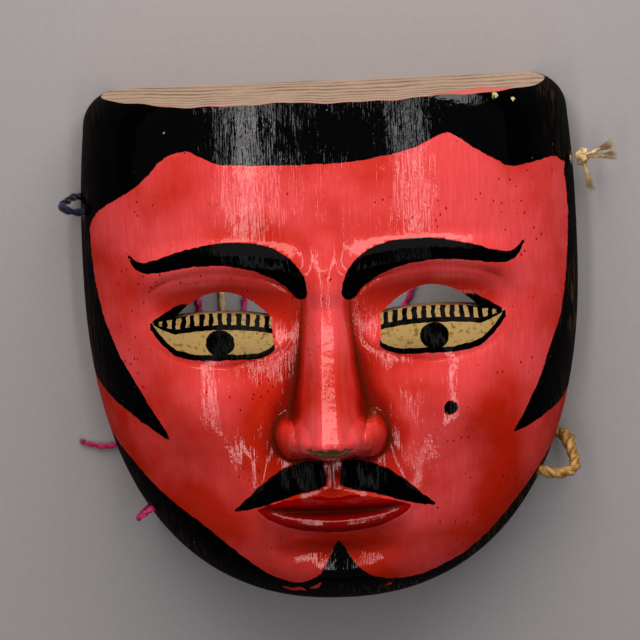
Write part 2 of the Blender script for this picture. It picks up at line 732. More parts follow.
def brush(start, direction, length, width, spread, count, thickness, draw):
    """A frayed end: fibres from within a cord's width that fan out along a direction."""
    direction = np.array(direction, float) / np.linalg.norm(direction)
    side = np.cross(direction, (0.1, 0.3, 0.95))
    side /= np.linalg.norm(side)
    up = np.cross(direction, side)
    angle = draw.uniform(0, 2 * np.pi, (count, 1))
    off = np.sqrt(draw.uniform(0, 1, (count, 1)))
    spoke = np.cos(angle) * side + np.sin(angle) * up
    size = draw.uniform(0.65, 1, (count, 1)) * length
    root = np.array(start) + spoke * off * width * 0.35
    tip = np.array(start) + direction * size + spoke * off * spread
    tip += draw.normal(0, 0.12, (count, 3)) * spread
    middle = (root + tip) / 2 + spoke * spread * draw.uniform(-0.35, 0.35, (count, 1))
    return fibres(root, middle, tip, thickness)


# %% [markdown]
# ## Node helpers
#
# A material is a graph of nodes. One small function adds a node with its settings and links, so that each
# material below reads from top to bottom as its maker would describe it. Each material fills in its own
# graph once and calls the result node. Paint and yarn colours are given as sRGB hex values, as they would
# be read off a swatch, and one function turns them to the linear light that the renderer adds up.


# %% One function for colours and one for nodes
def linear(hex_colour):
    """The linear colour of an sRGB hex value: a straight part below 0.04, and a power of 2.4 above."""
    shares = np.array([int(hex_colour[i : i + 2], 16) / 255 for i in (1, 3, 5)])
    curve = np.where(shares < 0.04045, shares / 12.92, ((shares + 0.055) / 1.055) ** 2.4)
    return (*curve.tolist(), 1.0)


def add(tree, kind, links=None, out=None, **settings):
    """Adds a node. links gives its inputs, as values or other nodes' outputs, and out names its result."""
    node = tree.nodes.new("ShaderNode" + kind)
    for name, value in settings.items():
        setattr(node, name, value)
    for key, value in (links or {}).items():
        if isinstance(value, bpy.types.NodeSocket):
            tree.links.new(value, node.inputs[key])
        else:
            node.inputs[key].default_value = value
    return node.outputs[out] if out else next(socket for socket in node.outputs if socket.enabled)


def new_look(name, **values):
    """A material with its shader's constant values, what adds a node to it, and its place in millimetres."""
    look = bpy.data.materials.new(name)
    look.use_nodes = True
    for key, value in values.items():
        look.node_tree.nodes["Principled BSDF"].inputs[key.replace("_", " ")].default_value = value
    node = partial(add, look.node_tree)
    place = node("TexCoord", out="Object")
    return look, node, node("VectorMath", {0: place, "Scale": 1 / MM}, operation="SCALE")


def complete(look, **results):
    """Links what a material has worked out to its shader."""
    for key, value in results.items():
        look.node_tree.links.new(value, look.node_tree.nodes["Principled BSDF"].inputs[key.replace("_", " ")])
    return look


# %% [markdown]
# ## Yarn and cord finishes
#
# Spun wool and acrylic scatter light in their fibres, so they look soft and matt with a pale sheen at the
# edge. Cotton is smoother and creamier, and waxed cord has a dull shine. In all of them the fibres run
# along each ply, so fine lines along the yarn, turned by its twist, drive both the colour and the bump.
# Noise stretched on the piece's own UVs gives those lines and follows every bend, which a pattern in space
# wouldn't.

# %% A fibre finish, and the four that use it
FIBRE_LINES = 26
LINE_LENGTH = 2.5


def fibre_look(name, dark, mid, light, roughness, sheen, bump, twist):
    """Lines along the ply: noise on (along, round), sheared by the twist and stretched along it."""
    look, node, mm = new_look(name, Roughness=roughness, Sheen_Weight=sheen, Sheen_Roughness=0.4)
    uv = node("UVMap", uv_map="along_and_round")
    along, around = node("SeparateXYZ", {0: uv}, out="X").node.outputs[:2]
    turn = node("Math", {0: along, 1: 1 / twist}, operation="MULTIPLY")
    sheared = node("Math", {0: around, 1: turn}, operation="SUBTRACT")
    circle = node("Math", {0: sheared, 1: 2 * np.pi}, operation="MULTIPLY")
    where = {"X": node("Math", {0: along, 1: 1 / LINE_LENGTH}, operation="MULTIPLY")}
    for axis, wave in (("Y", "COSINE"), ("Z", "SINE")):
        turned = node("Math", {0: circle}, operation=wave)
        where[axis] = node("Math", {0: turned, 1: FIBRE_LINES / (2 * np.pi)}, operation="MULTIPLY")
    lines = node("TexNoise", {"Vector": node("CombineXYZ", where), "Scale": 1.0, "Detail": 3.0}, out="Fac")
    blotch = node("TexNoise", {"Vector": mm, "Scale": 0.35, "Detail": 2.0}, out="Fac")
    colour = linear(dark)
    for value, low, high, over in ((lines, 0.3, 0.7, mid), (blotch, 0.45, 0.75, light)):
        share = node("MapRange", {"Value": value, "From Min": low, "From Max": high})
        colour = node("Mix", {0: share, 6: colour, 7: linear(over)}, data_type="RGBA")
    height = node("Bump", {"Height": lines, "Distance": bump * MM, "Strength": 1.0})
    return complete(look, Base_Color=colour, Normal=height)


navy_wool = fibre_look("spun_wool_navy", "#05070f", "#121a36", "#22305c", 0.95, 0.35, 0.25, 9.0)
magenta_acrylic = fibre_look("spun_acrylic_magenta", "#8c0644", "#d81a70", "#ee5a9c", 0.8, 0.3, 0.2, 7.5)
cream_cotton = fibre_look("twisted_cotton_cream", "#a9824a", "#dcc08c", "#f1e0b8", 0.85, 0.25, 0.2, 8.0)
tan_waxed = fibre_look("waxed_cord_tan", "#7c5523", "#b08a48", "#c9a766", 0.45, 0.05, 0.1, 14.0)
print("fibre finishes:", navy_wool.name, magenta_acrylic.name, cream_cotton.name, tan_waxed.name)

# %% [markdown]
# ## The navy and magenta ties
#
# Both are knitting yarn of two plies: the navy one is wool, thick and dull, and the magenta one is acrylic,
# thinner and brighter. The magenta yarn's loose end lies beside the mask and has come undone into its
# fibres. Yarn isn't even, so its width swells and thins a little along its length.

# %% The two yarns
draw = np.random.default_rng(11)


def uneven(route, amount, wave):
    """1 plus slow waves along the path, for hand-spun unevenness; wave is their length in points."""
    at = np.arange(len(route))
    return 1 + amount * (np.sin(2 * np.pi * at / wave) + 0.6 * np.sin(2 * np.pi * at / (0.37 * wave) + 1))


navy_tie = mesh_piece(
    "navy_wool_tie",
    [
        plied(routes["navy"], 0.98 * NAVY_YARN, 2, 9 * MM, uneven(routes["navy"], 0.035, 31)),
        fuzz(routes["navy"], NAVY_YARN, 900, 1.1 * MM, 0.07 * MM, draw),
    ],
    navy_wool,
)
loose_end, back_along = routes["magenta"][0], routes["magenta"][0] - routes["magenta"][6]
thinned = np.minimum(1, 0.72 + 0.28 * np.arange(len(routes["magenta"])) / 12)
magenta_tie = mesh_piece(
    "magenta_yarn_spun",
    [
        plied(
            routes["magenta"], 0.98 * MAGENTA_YARN, 2, 7.5 * MM,
            thinned * uneven(routes["magenta"], 0.03, 27),
        ),
        fuzz(routes["magenta"], MAGENTA_YARN, 1000, 0.7 * MM, 0.06 * MM, draw),
        brush(loose_end, back_along, 2.8 * MM, MAGENTA_YARN, 1.3 * MM, 46, 0.14 * MM, draw),
    ],
    magenta_acrylic,
)
for tie, node, name, width in (
    (navy_tie, "navy_yarn_tie", "navy", NAVY_YARN),
    (magenta_tie, "magenta_yarn_tie", "magenta", MAGENTA_YARN),
):
    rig.ride(tie, "root")
    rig.replaces(tie, node)
    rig.slot(tie, "navy_yarn" if name == "navy" else "magenta_yarn")
    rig.cord(
        tie, exit=routes[name][0], length=lengths[name], diameter=width, far_end="bare",
        stiffness="limp", lay="loose", path=routes[name],
    )

# %% [markdown]
# ## The cotton cord and its frayed knot
#
# A knot outside the hole stops the cord from pulling through, and its ends have frayed into cream brushes.
# The knot is an overhand one, which pulled tight is close to a small trefoil: a curve that winds three
# times through its own middle. Modelling the pulling would take a simulation, and the trefoil shows the
# same crossings.

# %% Knot and frayed ends
KNOT_RADIUS = 3.6 * MM
KNOT_ENDS = [(12, 5, 1), (13, 0, -2), (3, -13, -1)]
KNOT_SIZE = 0.82 * MM
KNOT_CORD = 2.3 * MM
STRAND_WIDTH = 1.7 * MM

hole_mouth, hole_outwards = wall_place(COTTON_HOLE)
knot_middle = hole_mouth + hole_outwards * (KNOT_RADIUS + JOINT_GAP)
knot_axis = np.array(hole_outwards)
knot_side = np.cross(knot_axis, (0, 0, 1))
knot_side /= np.linalg.norm(knot_side)
knot_up = np.cross(knot_axis, knot_side)


def trefoil(steps):
    """Sine and cosine of one turn with twice that of two turns, and minus the sine of three turns deep."""
    t = np.linspace(0, 2 * np.pi, steps)
    across = np.sin(t) + 2 * np.sin(2 * t)
    upwards = np.cos(t) - 2 * np.cos(2 * t)
    deep = -np.sin(3 * t)
    flat = across[:, None] * knot_side + upwards[:, None] * knot_up
    return np.array(knot_middle) + KNOT_SIZE * (flat + 1.3 * deep[:, None] * knot_axis)


def strand_route(reach):
    """From the knot's middle, up a little and out to an end."""
    reach = Vector(reach) * MM
    middle = Vector(knot_middle)
    bend = middle + reach / 2 + Vector((0, 0, 0.8 * MM))
    return smooth_route([middle, bend, middle + reach], 0.5 * MM, 1 * MM)


knot_parts = [plied(trefoil(110), KNOT_CORD, 3, 7 * MM)]
for reach in KNOT_ENDS:
    strand = strand_route(reach)
    held = strand[: int(0.62 * len(strand))]
    opening = np.linspace(1, 0.75, len(held))
    knot_parts.append(plied(held, STRAND_WIDTH, 2, 7 * MM, opening))
    aim = strand[-1] - held[-2]
    knot_parts.append(brush(held[-2], aim, np.linalg.norm(aim), STRAND_WIDTH, 1.9 * MM, 70, 0.2 * MM, draw))
    knot_parts.append(fuzz(strand, STRAND_WIDTH, 60, 1.1 * MM, 0.1 * MM, draw))
frayed_knot = mesh_piece("cotton_knot_frayed", knot_parts, cream_cotton)
cotton_tie = mesh_piece(
    "cotton_cord_twisted",
    [
        plied(routes["cotton"], 0.98 * COTTON_CORD, 3, 8 * MM, uneven(routes["cotton"], 0.02, 37)),
        fuzz(routes["cotton"], COTTON_CORD, 300, 0.7 * MM, 0.07 * MM, draw),
    ],
    cream_cotton,
)
for piece, node in ((frayed_knot, "cotton_frayed_knot"), (cotton_tie, "cotton_cord_tie")):
    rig.ride(piece, "root")
    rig.replaces(piece, node)
    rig.slot(piece, "cream_cotton")
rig.cord(
    cotton_tie, exit=routes["cotton"][0], length=lengths["cotton"], diameter=COTTON_CORD, far_end="bare",
    stiffness="limp", lay="loose", path=routes["cotton"], with_pieces=[frayed_knot],
)

# %% [markdown]
# ## The tan loop
#
# This cord is thicker and waxed, so it stands in a round loop and its plies hardly show. Part of the way
# round it is whipped: a thin twine is wound round it and has half buried itself. The whipping is a swelling
# of the cord's own skin with one narrow ridge for each turn of twine.

# %% Waxed cord with its whipping
WHIPPING_SWELL = 0.35
WHIPPING_HALF = 3.5 * MM
TWINE_PITCH = 1.0 * MM
TWINE_RIDGE = 0.08

whipped_at = np.array(rim_turn(RIGHT, TAN_TURN_Y, TAN_CORD)[0])
tan_fine = smooth_route(tan_route(), TAN_CORD / 24, TAN_CORD / 2 + FLOOR_GAP)
from_whipping = np.linalg.norm(tan_fine - whipped_at, axis=1)
tan_along = np.arange(len(tan_fine)) * TAN_CORD / 24
whipping = np.exp(-((from_whipping / WHIPPING_HALF) ** 2))
twine = TWINE_RIDGE * np.abs(np.sin(np.pi * tan_along / TWINE_PITCH)) * smooth((whipping - 0.2) / 0.2)
tan_loop = mesh_piece(
    "tan_loop_whipped",
    [
        plied(tan_fine, 0.97 * TAN_CORD, 3, 14 * MM, 1 + WHIPPING_SWELL * whipping * 0.8 + twine),
        fuzz(tan_fine, TAN_CORD, 120, 0.6 * MM, 0.08 * MM, draw),
    ],
    tan_waxed,
)
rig.ride(tan_loop, "root")
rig.replaces(tan_loop, "tan_cord_loop")
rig.slot(tan_loop, "tan_cord")
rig.cord(
    tan_loop, exit=routes["tan"][0], length=lengths["tan"], diameter=TAN_CORD, far_end="object",
    stiffness="medium", lay="loose", path=routes["tan"],
)

# %% [markdown]
# ## The knife's own marks
#
# The frame's solid has the features that show from a step away. A closer look finds what the knife left:
# the nostrils, the groove under the nose, the crease beside it, a line round each eye, and long shallow
# facets that the paint has half filled. A bump map would fake them, but their edges show against the light,
# so they are added to the height itself. The facets are only a twentieth of a millimetre deep on the
# forehead, because a gloss paint shows even that.

# %% Finer carving
NOSTRIL_SINK = 2.6 * MM
PHILTRUM_SINK = 1.1 * MM
CREASE_SINK = 0.7 * MM
LID_FOLD_SINK = 0.8 * MM
LOWER_LID_SINK = 0.5 * MM
FACET_WIDE = 7.5 * MM
FACET_LONG = 19 * MM
FACET_DEPTH = 0.05 * MM
SURFACE_WAVE = 0.22 * MM


def fine_features(across, level):
    """Five narrow bells below nought: nostril, philtrum, cheek crease, and a line over and under the eye."""
    nostril = NOSTRIL_SINK * swelling(across, level, 0.2, NOSE_BASE_LEVEL, 0.075, 0.03)
    philtrum = PHILTRUM_SINK * swelling(across, level, 0, NOSE_BASE_LEVEL - 0.13, 0.075, 0.085)
    crease_at = 0.56 + 0.42 * (NOSE_BASE_LEVEL + 0.1 - level)
    crease_ends = smooth((level - 0.72) / 0.12) * smooth((1.16 - level) / 0.12)
    crease = CREASE_SINK * crease_ends * np.exp(-(((across - crease_at) / 0.075) ** 2))
    round_eye = np.clip(1 - ((across - 1.02) / 0.72) ** 2, 0, 1)
    fold_level = EYE_LEVEL + 0.1 + 0.17 * np.sqrt(round_eye)
    fold = LID_FOLD_SINK * smooth(round_eye / 0.3) * np.exp(-(((level - fold_level) / 0.016) ** 2))
    lid_level = EYE_LEVEL - 0.06 - 0.185 * np.sqrt(round_eye)
    lid = LOWER_LID_SINK * smooth(round_eye / 0.3) * np.exp(-(((level - lid_level) / 0.014) ** 2))
    return -(nostril + philtrum + crease + fold + lid)


def low_on_face(y):
    """0 above the eyes' lower edge and 1 from the nose's base down."""
    return smooth((10 * MM - y) / (30 * MM))


def knife_facets(x, y):
    """Runs of dips, each one less the sine's size, that wander down the face; twice as deep on the cheeks."""
    wander = 2.6 * MM * np.sin(y / (17 * MM) + 1.3) + 1.4 * MM * np.sin(y / (7.3 * MM) + x / (23 * MM))
    run = (x + wander) / FACET_WIDE
    stroke = (y + 6 * MM * np.sin(2.1 * np.floor(run))) / FACET_LONG
    dips = 1 - np.sqrt(np.sin(np.pi * run) ** 2 + 0.02)
    stops = (1 - np.sqrt(np.sin(np.pi * stroke) ** 2 + 0.05)) ** 2
    return FACET_DEPTH * (1 + 1.2 * low_on_face(y)) * (dips + 0.7 * stops)


def hand_made(x, y):
    """Slow waves of the block's surface, as sums of sines that never quite repeat."""
    slow = np.sin(x / (13 * MM) + 1.7 * np.sin(y / (21 * MM))) * np.sin(y / (16 * MM) + 0.8)
    quick = np.sin(x / (6.1 * MM) + y / (9.7 * MM)) * np.sin(y / (7.9 * MM) - x / (14 * MM) + 2)
    low = low_on_face(y)
    return SURFACE_WAVE * (slow * (0.5 + 0.5 * low) + 0.3 * quick * low)


def fine_front(x, y):
    """The face's height with the finer carving, which fades at the outline as the features do."""
    gauge = outer_gauge(x, y)
    finer = fine_features(*face_units(x, y)) + knife_facets(x, y) + hand_made(x, y)
    return front(x, y) + finer * (1 - gauge**FADE_POWER)


# %% [markdown]
# ## The hollow and the sawn top
#
# Behind, the gouge took the wood out in short scoops, one row beside the other, and nobody smoothed them.
# On top the block was sawn square across and left bare, so its growth rings show as lines along the cut,
# and the soft wood between them has worn lower. Both are heights again: a row of scoops for the gouge, and
# a wave along the rings for the cut.

# %% Scoops and rings
SCOOP_WIDE = 8.5 * MM
SCOOP_LONG = 17 * MM
SCOOP_DEPTH = 0.9 * MM
RING_PITCH = 7.5 * MM
RING_BOW = 1.6
RING_DEPTH = 0.22 * MM
SAW_PITCH = 1.7 * MM
SAW_DEPTH = 0.05 * MM


def scoops(x, y):
    """A hollow in each cell of a brick pattern: the product of two sines' sizes, to a root."""
    row = x / SCOOP_WIDE + 0.25 * np.sin(y / (24 * MM))
    place = y / SCOOP_LONG + 0.5 * np.mod(np.floor(row), 2) + 0.31 * np.sin(5 * np.floor(row))
    return SCOOP_DEPTH * np.sqrt(np.abs(np.sin(np.pi * row)) * np.abs(np.sin(np.pi * place)) + 0.01)


def rings_passed(x, z):
    """How many growth rings lie below a place on the cut: they bow like the tree's, and waver a little."""
    waver = 1.1 * MM * np.sin(x / (21 * MM) + z / (14 * MM))
    waver = waver + 0.5 * MM * np.sin(x / (8.3 * MM) - z / (6 * MM))
    closer = 2.2 * MM * np.sin(z / (8 * MM) + 0.7)
    return (z + RING_BOW * x**2 + waver + closer) / RING_PITCH


# %% [markdown]
# ## The mask's mesh
#
# The face is a square grid of places (u, v). Its lower half is bent into the round outline, and its rows
# and columns crowd round the nose and mouth, where the surface turns most. The hollow is a second grid,
# half as close, and the sawn top a third. A strip of triangles along the rim sews them into one closed
# skin. Sculpting or a subdivided cage would give uneven faces here, and a grid has them where they are
# needed.

# %% Grids
COLUMNS = 240
LOWER_ROWS = 200
UPPER_ROWS = 60
SAWN_ROWS = 26
WALL_SHARE = 0.86
NOSE_CROWD = (0.0, 0.2, 1.4)
NOSTRIL_CROWD = (-0.43, 0.05, 1.5)
MOUTH_CROWD = (-0.58, 0.07, 1.5)
EYE_CROWD = (-0.06, 0.1, 0.5)
WELD = 0.002 * MM
EDGE_WAVE = 1.4 * MM


def closing_up(share):
    """Even up to WALL_SHARE, then slowing down towards 1 as a parabola does, to follow the steep wall."""
    even = WALL_SHARE / (2 - WALL_SHARE)
    last = np.clip((share - even) / (1 - even), 0, 1)
    slowing = WALL_SHARE + (1 - WALL_SHARE) * (1 - (1 - last) ** 2)
    return np.where(share < even, share * WALL_SHARE / even, slowing)


def crowded(low, high, count, *crowds):
    """count steps from low to high, in inverse measure to a density of one plus each crowd's bell."""
    fine = np.linspace(low, high, 2001)
    density = 1 + sum(more * np.exp(-(((fine - at) / wide) ** 2)) for at, wide, more in crowds)
    passed = np.concatenate([[0], np.cumsum((density[1:] + density[:-1]) / 2)])
    return np.interp(np.linspace(0, passed[-1], count + 1), passed, fine)


def grid(columns, lower_rows, upper_rows):
    """u across and v up, with the crowds."""
    u = crowded(-1, 1, columns, NOSE_CROWD)
    lower = crowded(-1, 0, lower_rows, NOSTRIL_CROWD, MOUTH_CROWD, EYE_CROWD)
    v = np.concatenate([lower, np.linspace(0, 1, upper_rows + 1)[1:]])
    return np.meshgrid(u, v)


def lower_half(u, v):
    """The square's lower half as a disc's: each way shortened by half the other's square, then outlined."""
    down = np.minimum(v, 0)
    x = u * np.sqrt(1 - down**2 / 2)
    y = down * np.sqrt(1 - u**2 / 2)
    gauge = superellipse(np.abs(x), np.abs(y), OUTLINE_POWER)
    scale = closing_up(np.hypot(x, y)) / np.maximum(gauge, 1e-9)
    return x * scale, y * scale


def edge_wander(x):
    """0 to 1, wandering along the cut's front edge where the carver's knife has rounded it unevenly."""
    slow, quick = 0.25 * np.sin(x / (9 * MM)), 0.15 * np.sin(x / (4.1 * MM) + 1)
    return 0.5 + slow + quick + 0.1 * np.sin(x / (1.9 * MM))


def face_points():
    """The face's points, row by row from the chin to the edge of the sawn top, which leans back."""
    u, v = grid(COLUMNS, LOWER_ROWS, UPPER_ROWS)
    low_x, low_y = lower_half(u, v)
    x_share = np.sign(u) * closing_up(np.abs(u))
    y_share = closing_up(np.clip(v, 0, 1))
    edge = np.full(COLUMNS + 1, TOP_Y)
    for _ in range(3):
        y = WIDEST_Y + np.where(v < 0, low_y * (WIDEST_Y - CHIN_Y), y_share * (edge - WIDEST_Y))
        x = np.where(v < 0, low_x * WIDTH / 2, x_share * half_width(y))
        height = front(x[-1], y[-1])
        edge = TOP_Y - TOP_SLOPE * height - EDGE_WAVE * edge_wander(x[-1]) * smooth(height / (9 * MM))
    return np.stack([x, y, fine_front(x, y)], axis=-1)


def hollow_points():
    """The hollow's points in the same order, half as close, raised by the scoops."""
    u, v = grid(COLUMNS // 2, LOWER_ROWS // 2, UPPER_ROWS // 2)
    low_x, low_y = lower_half(u, v)
    corner = superellipse(np.abs(u), np.abs(v), HOLLOW_CORNER_POWER)
    scale = closing_up(np.maximum(np.abs(u), np.abs(v))) / np.maximum(corner, 1e-9)
    x = np.where(v < 0, low_x, u * scale) * (WIDTH / 2 - SIDE_WALL)
    drop, rise = WIDEST_Y - CHIN_Y - CHIN_WALL, TOP_Y - TOP_WALL - WIDEST_Y
    y = WIDEST_Y + np.where(v < 0, low_y * drop, v * scale * rise)
    roof = back(x, y)
    return np.stack([x, y, roof + scoops(x, y) * smooth(roof / (25 * MM))], axis=-1)


def sawn_rows(edge):
    """Rows down the sawn top from the face's edge to the floor, sunk between the rings and by the saw."""
    foot_x = np.clip(edge[:, 0], -half_width(TOP_Y), half_width(TOP_Y))
    foot = np.stack([foot_x, np.full_like(foot_x, TOP_Y), np.zeros_like(foot_x)], axis=-1)
    share = np.linspace(0, 1, SAWN_ROWS + 1)[1:, None, None]
    rows = edge[None] * (1 - share) + foot[None] * share
    inside = np.sin(np.pi * np.clip(share[..., 0] * 1.02, 0, 1)) ** 0.3
    x, z = rows[..., 0], rows[..., 2]
    saw = 0.5 + 0.5 * np.sin(2 * np.pi * (x + 0.35 * z) / SAW_PITCH)
    ring = 0.5 + 0.5 * np.sin(2 * np.pi * rings_passed(x, z))
    rows[..., 1] -= inside * smooth(edge[:, 2] / (6 * MM)) * (RING_DEPTH * ring + SAW_DEPTH * saw)
    return rows


face_grid = face_points()
print("face:", face_grid.shape[0], "rows by", face_grid.shape[1], "points")


# %% Sew the grids into one skin
GLOSS_SLOT, SAWN_SLOT, WOOD_SLOT, DULL_SLOT = 0, 1, 2, 3


def border(index):
    """The border of a grid of point numbers, once round."""
    return np.concatenate([index[0, :-1], index[:-1, -1], index[-1, :0:-1], index[:0:-1, 0]])


def quads(index):
    """The four point numbers of each cell of a grid."""
    return np.stack([index[:-1, :-1], index[:-1, 1:], index[1:, 1:], index[1:, :-1]], axis=-1).reshape(-1, 4)


def mask_mesh():
    """Face, sawn top and hollow as three grids, and for each hollow border point three triangles of rim."""
    outer = np.concatenate([face_grid, sawn_rows(face_grid[-1])])
    hollow = hollow_points()
    outer_index = np.arange(outer.shape[0] * outer.shape[1]).reshape(outer.shape[:2])
    hollow_index = np.arange(hollow.shape[0] * hollow.shape[1]).reshape(hollow.shape[:2]) + outer_index.size
    rows = face_grid.shape[0]
    face_quads, sawn_quads = quads(outer_index[:rows]), quads(outer_index[rows - 1 :])
    kept = np.r_[0 : rows - 1, outer.shape[0] - 1]
    around, inside = border(outer_index[kept]), border(hollow_index)
    i = np.arange(len(inside))
    first, middle, last = (around[(2 * i + k) % len(around)] for k in range(3))
    after = np.roll(inside, -1)
    rim = np.concatenate(
        [np.stack(corners, axis=-1) for corners in
         ((first, inside, middle), (middle, inside, after), (middle, after, last))]
    )
    faces = face_quads.tolist() + sawn_quads.tolist() + quads(hollow_index).tolist() + rim.tolist()
    mesh = bpy.data.meshes.new("carved_mask")
    mesh.from_pydata(np.concatenate([outer.reshape(-1, 3), hollow.reshape(-1, 3)]), [], faces)
    slots = np.full(len(faces), WOOD_SLOT, np.int32)
    slots[: len(face_quads)] = GLOSS_SLOT
    slots[len(face_quads) : len(face_quads) + len(sawn_quads)] = SAWN_SLOT
    mesh.polygons.foreach_set("material_index", slots)
    work = bmesh.new()
    work.from_mesh(mesh)
    bmesh.ops.remove_doubles(work, verts=work.verts, dist=WELD)
    bmesh.ops.recalc_face_normals(work, faces=work.faces)
    work.to_mesh(mesh)
    work.free()
    return mesh


mask = into_scene("carved_mask", mask_mesh())
print("skin:", len(mask.data.vertices), "points,", len(mask.data.polygons), "faces")

# %% [markdown]
# ## Eye slits and string holes
#
# The wearer looks out through a slit cut over each painted eye, and the strings go through drilled holes.
# All six are closed shapes in one cutter, so a single exact Boolean cuts them. The walls that it leaves are
# bare wood, and they keep the cutter's own material slot.

# %% One cutter for all
SLIT_HALF = 17 * MM
SLIT_RISE = 7.5 * MM
SLIT_SAG = 1.5 * MM
SLIT_SILL = 2.5 * MM
SLIT_STEPS = 48
HOLE_SIDES = 40


def slit_prism(work, side):
    """A low sill under an arch, each a parabola, raised straight through the wall."""
    share = np.linspace(-1, 1, SLIT_STEPS + 1)
    across = side * EYE + share * SLIT_HALF
    sill = EYE_Y + SLIT_SILL - SLIT_SAG * share**2
    arch = sill + SLIT_RISE * (1 - share**2)
    outline = list(zip(across, sill)) + list(zip(across, arch))[-2:0:-1]
    low, high = DOME_DEPTH / 2, DOME_DEPTH + NOSE_TIP_RISE
    floor = work.faces.new([work.verts.new((x, y, low)) for x, y in outline])
    lifted = bmesh.ops.extrude_face_region(work, geom=[floor])["geom"]
    corners = [corner for corner in lifted if isinstance(corner, bmesh.types.BMVert)]
    bmesh.ops.translate(work, verts=corners, vec=(0, 0, high - low))


def drill(work, hole, width):
    """A cylinder as wide as the tie and its play, square to the wall."""
    place, outwards = wall_place(hole)
    radius = width / 2 + HOLE_PLAY
    turned = outwards.to_track_quat("Z", "Y").to_matrix().to_4x4()
    bmesh.ops.create_cone(
        work, cap_ends=True, segments=HOLE_SIDES, radius1=radius, radius2=radius, depth=2 * DRILL_REACH,
        matrix=Matrix.Translation(place) @ turned,
    )


cuts = bmesh.new()
for side in (LEFT, RIGHT):
    slit_prism(cuts, side)
for hole, width in (
    (NAVY_HOLE, NAVY_YARN), (MAGENTA_HOLE, MAGENTA_YARN), (COTTON_HOLE, COTTON_CORD), (TAN_HOLE, TAN_CORD)
):
    drill(cuts, hole, width)
bmesh.ops.recalc_face_normals(cuts, faces=cuts.faces)
cutter = into_scene("cutter", bpy.data.meshes.new("cutter"))
cuts.to_mesh(cutter.data)
cuts.free()
for slot_number in range(DULL_SLOT + 1):
    cutter.data.materials.append(None)
    mask.data.materials.append(None)
cutter.data.polygons.foreach_set("material_index", np.full(len(cutter.data.polygons), WOOD_SLOT, np.int32))

# %% Cut, and clean the needle-thin faces that a cut leaves
SLIVER = 0.03 * MM
SHARP = np.radians(58)

cut = mask.modifiers.new("cut", "BOOLEAN")
cut.operation = "DIFFERENCE"
cut.solver = "EXACT"
cut.object = cutter
bpy.context.view_layer.update()
finished = bpy.data.meshes.new_from_object(mask.evaluated_get(bpy.context.evaluated_depsgraph_get()))
mask.modifiers.clear()
bpy.data.objects.remove(cutter)
work = bmesh.new()
work.from_mesh(finished)
many_sided = [face for face in work.faces if len(face.verts) > 4]
bmesh.ops.triangulate(work, faces=many_sided)
bmesh.ops.dissolve_degenerate(work, dist=SLIVER, edges=work.edges)
bmesh.ops.triangulate(work, faces=[face for face in work.faces if len(face.verts) > 4])
open_edges = sum(1 for edge in work.edges if not edge.is_manifold)
work.to_mesh(finished)
work.free()
mask.data = finished
mask.data.name = "carved_mask"
mask.data.shade_smooth()
mask.data.set_sharp_from_angle(angle=SHARP)
triangles = sum(len(face.vertices) - 2 for face in mask.data.polygons)
print("carved mask:", triangles, "triangles,", open_edges, "open edges")

# %% [markdown]
# ## Where the paint goes
#
# Painted areas could be drawn as an image, but here each is a distance: how many millimetres inside the
# edge of the paint a point lies, below nought outside it. It is stored on the mesh as an attribute. The
# material only asks where the distance passes nought, so an edge stays crisp at any size, and a little
# noise added to it gives the wobble of a hand and a brush. A brush stroke is the nearest of many round dabs
# along a curve.


# %% A brush stroke, and an edge drawn across
def dabs(x, y, points):
    """The greatest, over the dabs on a smooth curve, of the dab's radius less the distance to its middle."""
    best = np.full(x.shape, -50.0)
    for at_x, at_y, radius in smooth_route([(*point[:2], 10 + point[2]) for point in points], 0.5):
        np.maximum(best, radius - 10 - np.hypot(x - at_x, y - at_y), out=best)
    return best


def above(x, y, points):
    """How far a place lies above a line drawn across: its height over it, shortened by the line's slope."""
    line = smooth_route(points, 0.5)
    level = np.interp(x, line[:, 0], line[:, 1])
    slope = np.interp(x, line[:, 0], np.gradient(line[:, 1], line[:, 0]))
    return (y - level) / np.hypot(1, np.clip(slope, -4, 4))


points_mm = np.zeros(len(mask.data.vertices) * 3)
mask.data.vertices.foreach_get("co", points_mm)
px, py, pz = (points_mm.reshape(-1, 3) / MM).T
outside_x = np.abs(px)


def store(name, values):
    """Keeps one number for each point of the mask's mesh."""
    mask.data.attributes.new(name, "FLOAT", "POINT").data.foreach_set("value", values.astype(np.float32))
    print(name, "from", round(float(values.min()), 1), "to", round(float(values.max()), 1))


# %% [markdown]
# ## Hair, brows, moustache and beard
#
# All of them are flat black enamel, as a sign painter would do it: a fringe with two peaks, long pointed
# sideburns, brows with curled tips, a moustache of two leaves, and a beard line that rises to a spike under
# the lip. The brows follow the carved ridges and the moustache the carved lip. Under the chin the black has
# come off in three small chips, and the red shows through.

# %% Black paint
FRINGE = [(-95, 20), (-88, 34), (-84.9, 47), (-82, 52.5), (-76.4, 56.5), (-66.2, 62.2), (-60.2, 67.5),
          (-54.5, 72.7), (-47.1, 75.1), (-41.8, 73.2), (-36.5, 70.7), (-27.7, 69.8), (-6.8, 69.3),
          (7.1, 69.5), (21, 70.9), (31.5, 73.2), (38.6, 76.2), (43.9, 78), (49, 75.6), (54.2, 71.8),
          (61.1, 67.5), (66.4, 64.9), (73.7, 65.5), (82.1, 66.4), (86, 64), (95, 60)]
LEFT_SIDEBURN = [(97, 60, 12), (95, 43, 10), (93, 28, 9.3), (89, 14, 8.5), (84, 2, 8.3), (77, -7, 6.8),
                 (67.5, -16.3, 3.9), (62, -21.5, 2.2), (57.3, -26.2, 0.4)]
RIGHT_SIDEBURN = [(98, 60, 12), (97, 48, 10), (96, 35, 9.6), (94, 21, 9), (91, 8, 8.5), (85.5, -4, 8),
                  (80, -15, 6.9), (73.6, -21.2, 4.4), (69, -25.2, 2.4), (64.5, -28.6, 0.4)]
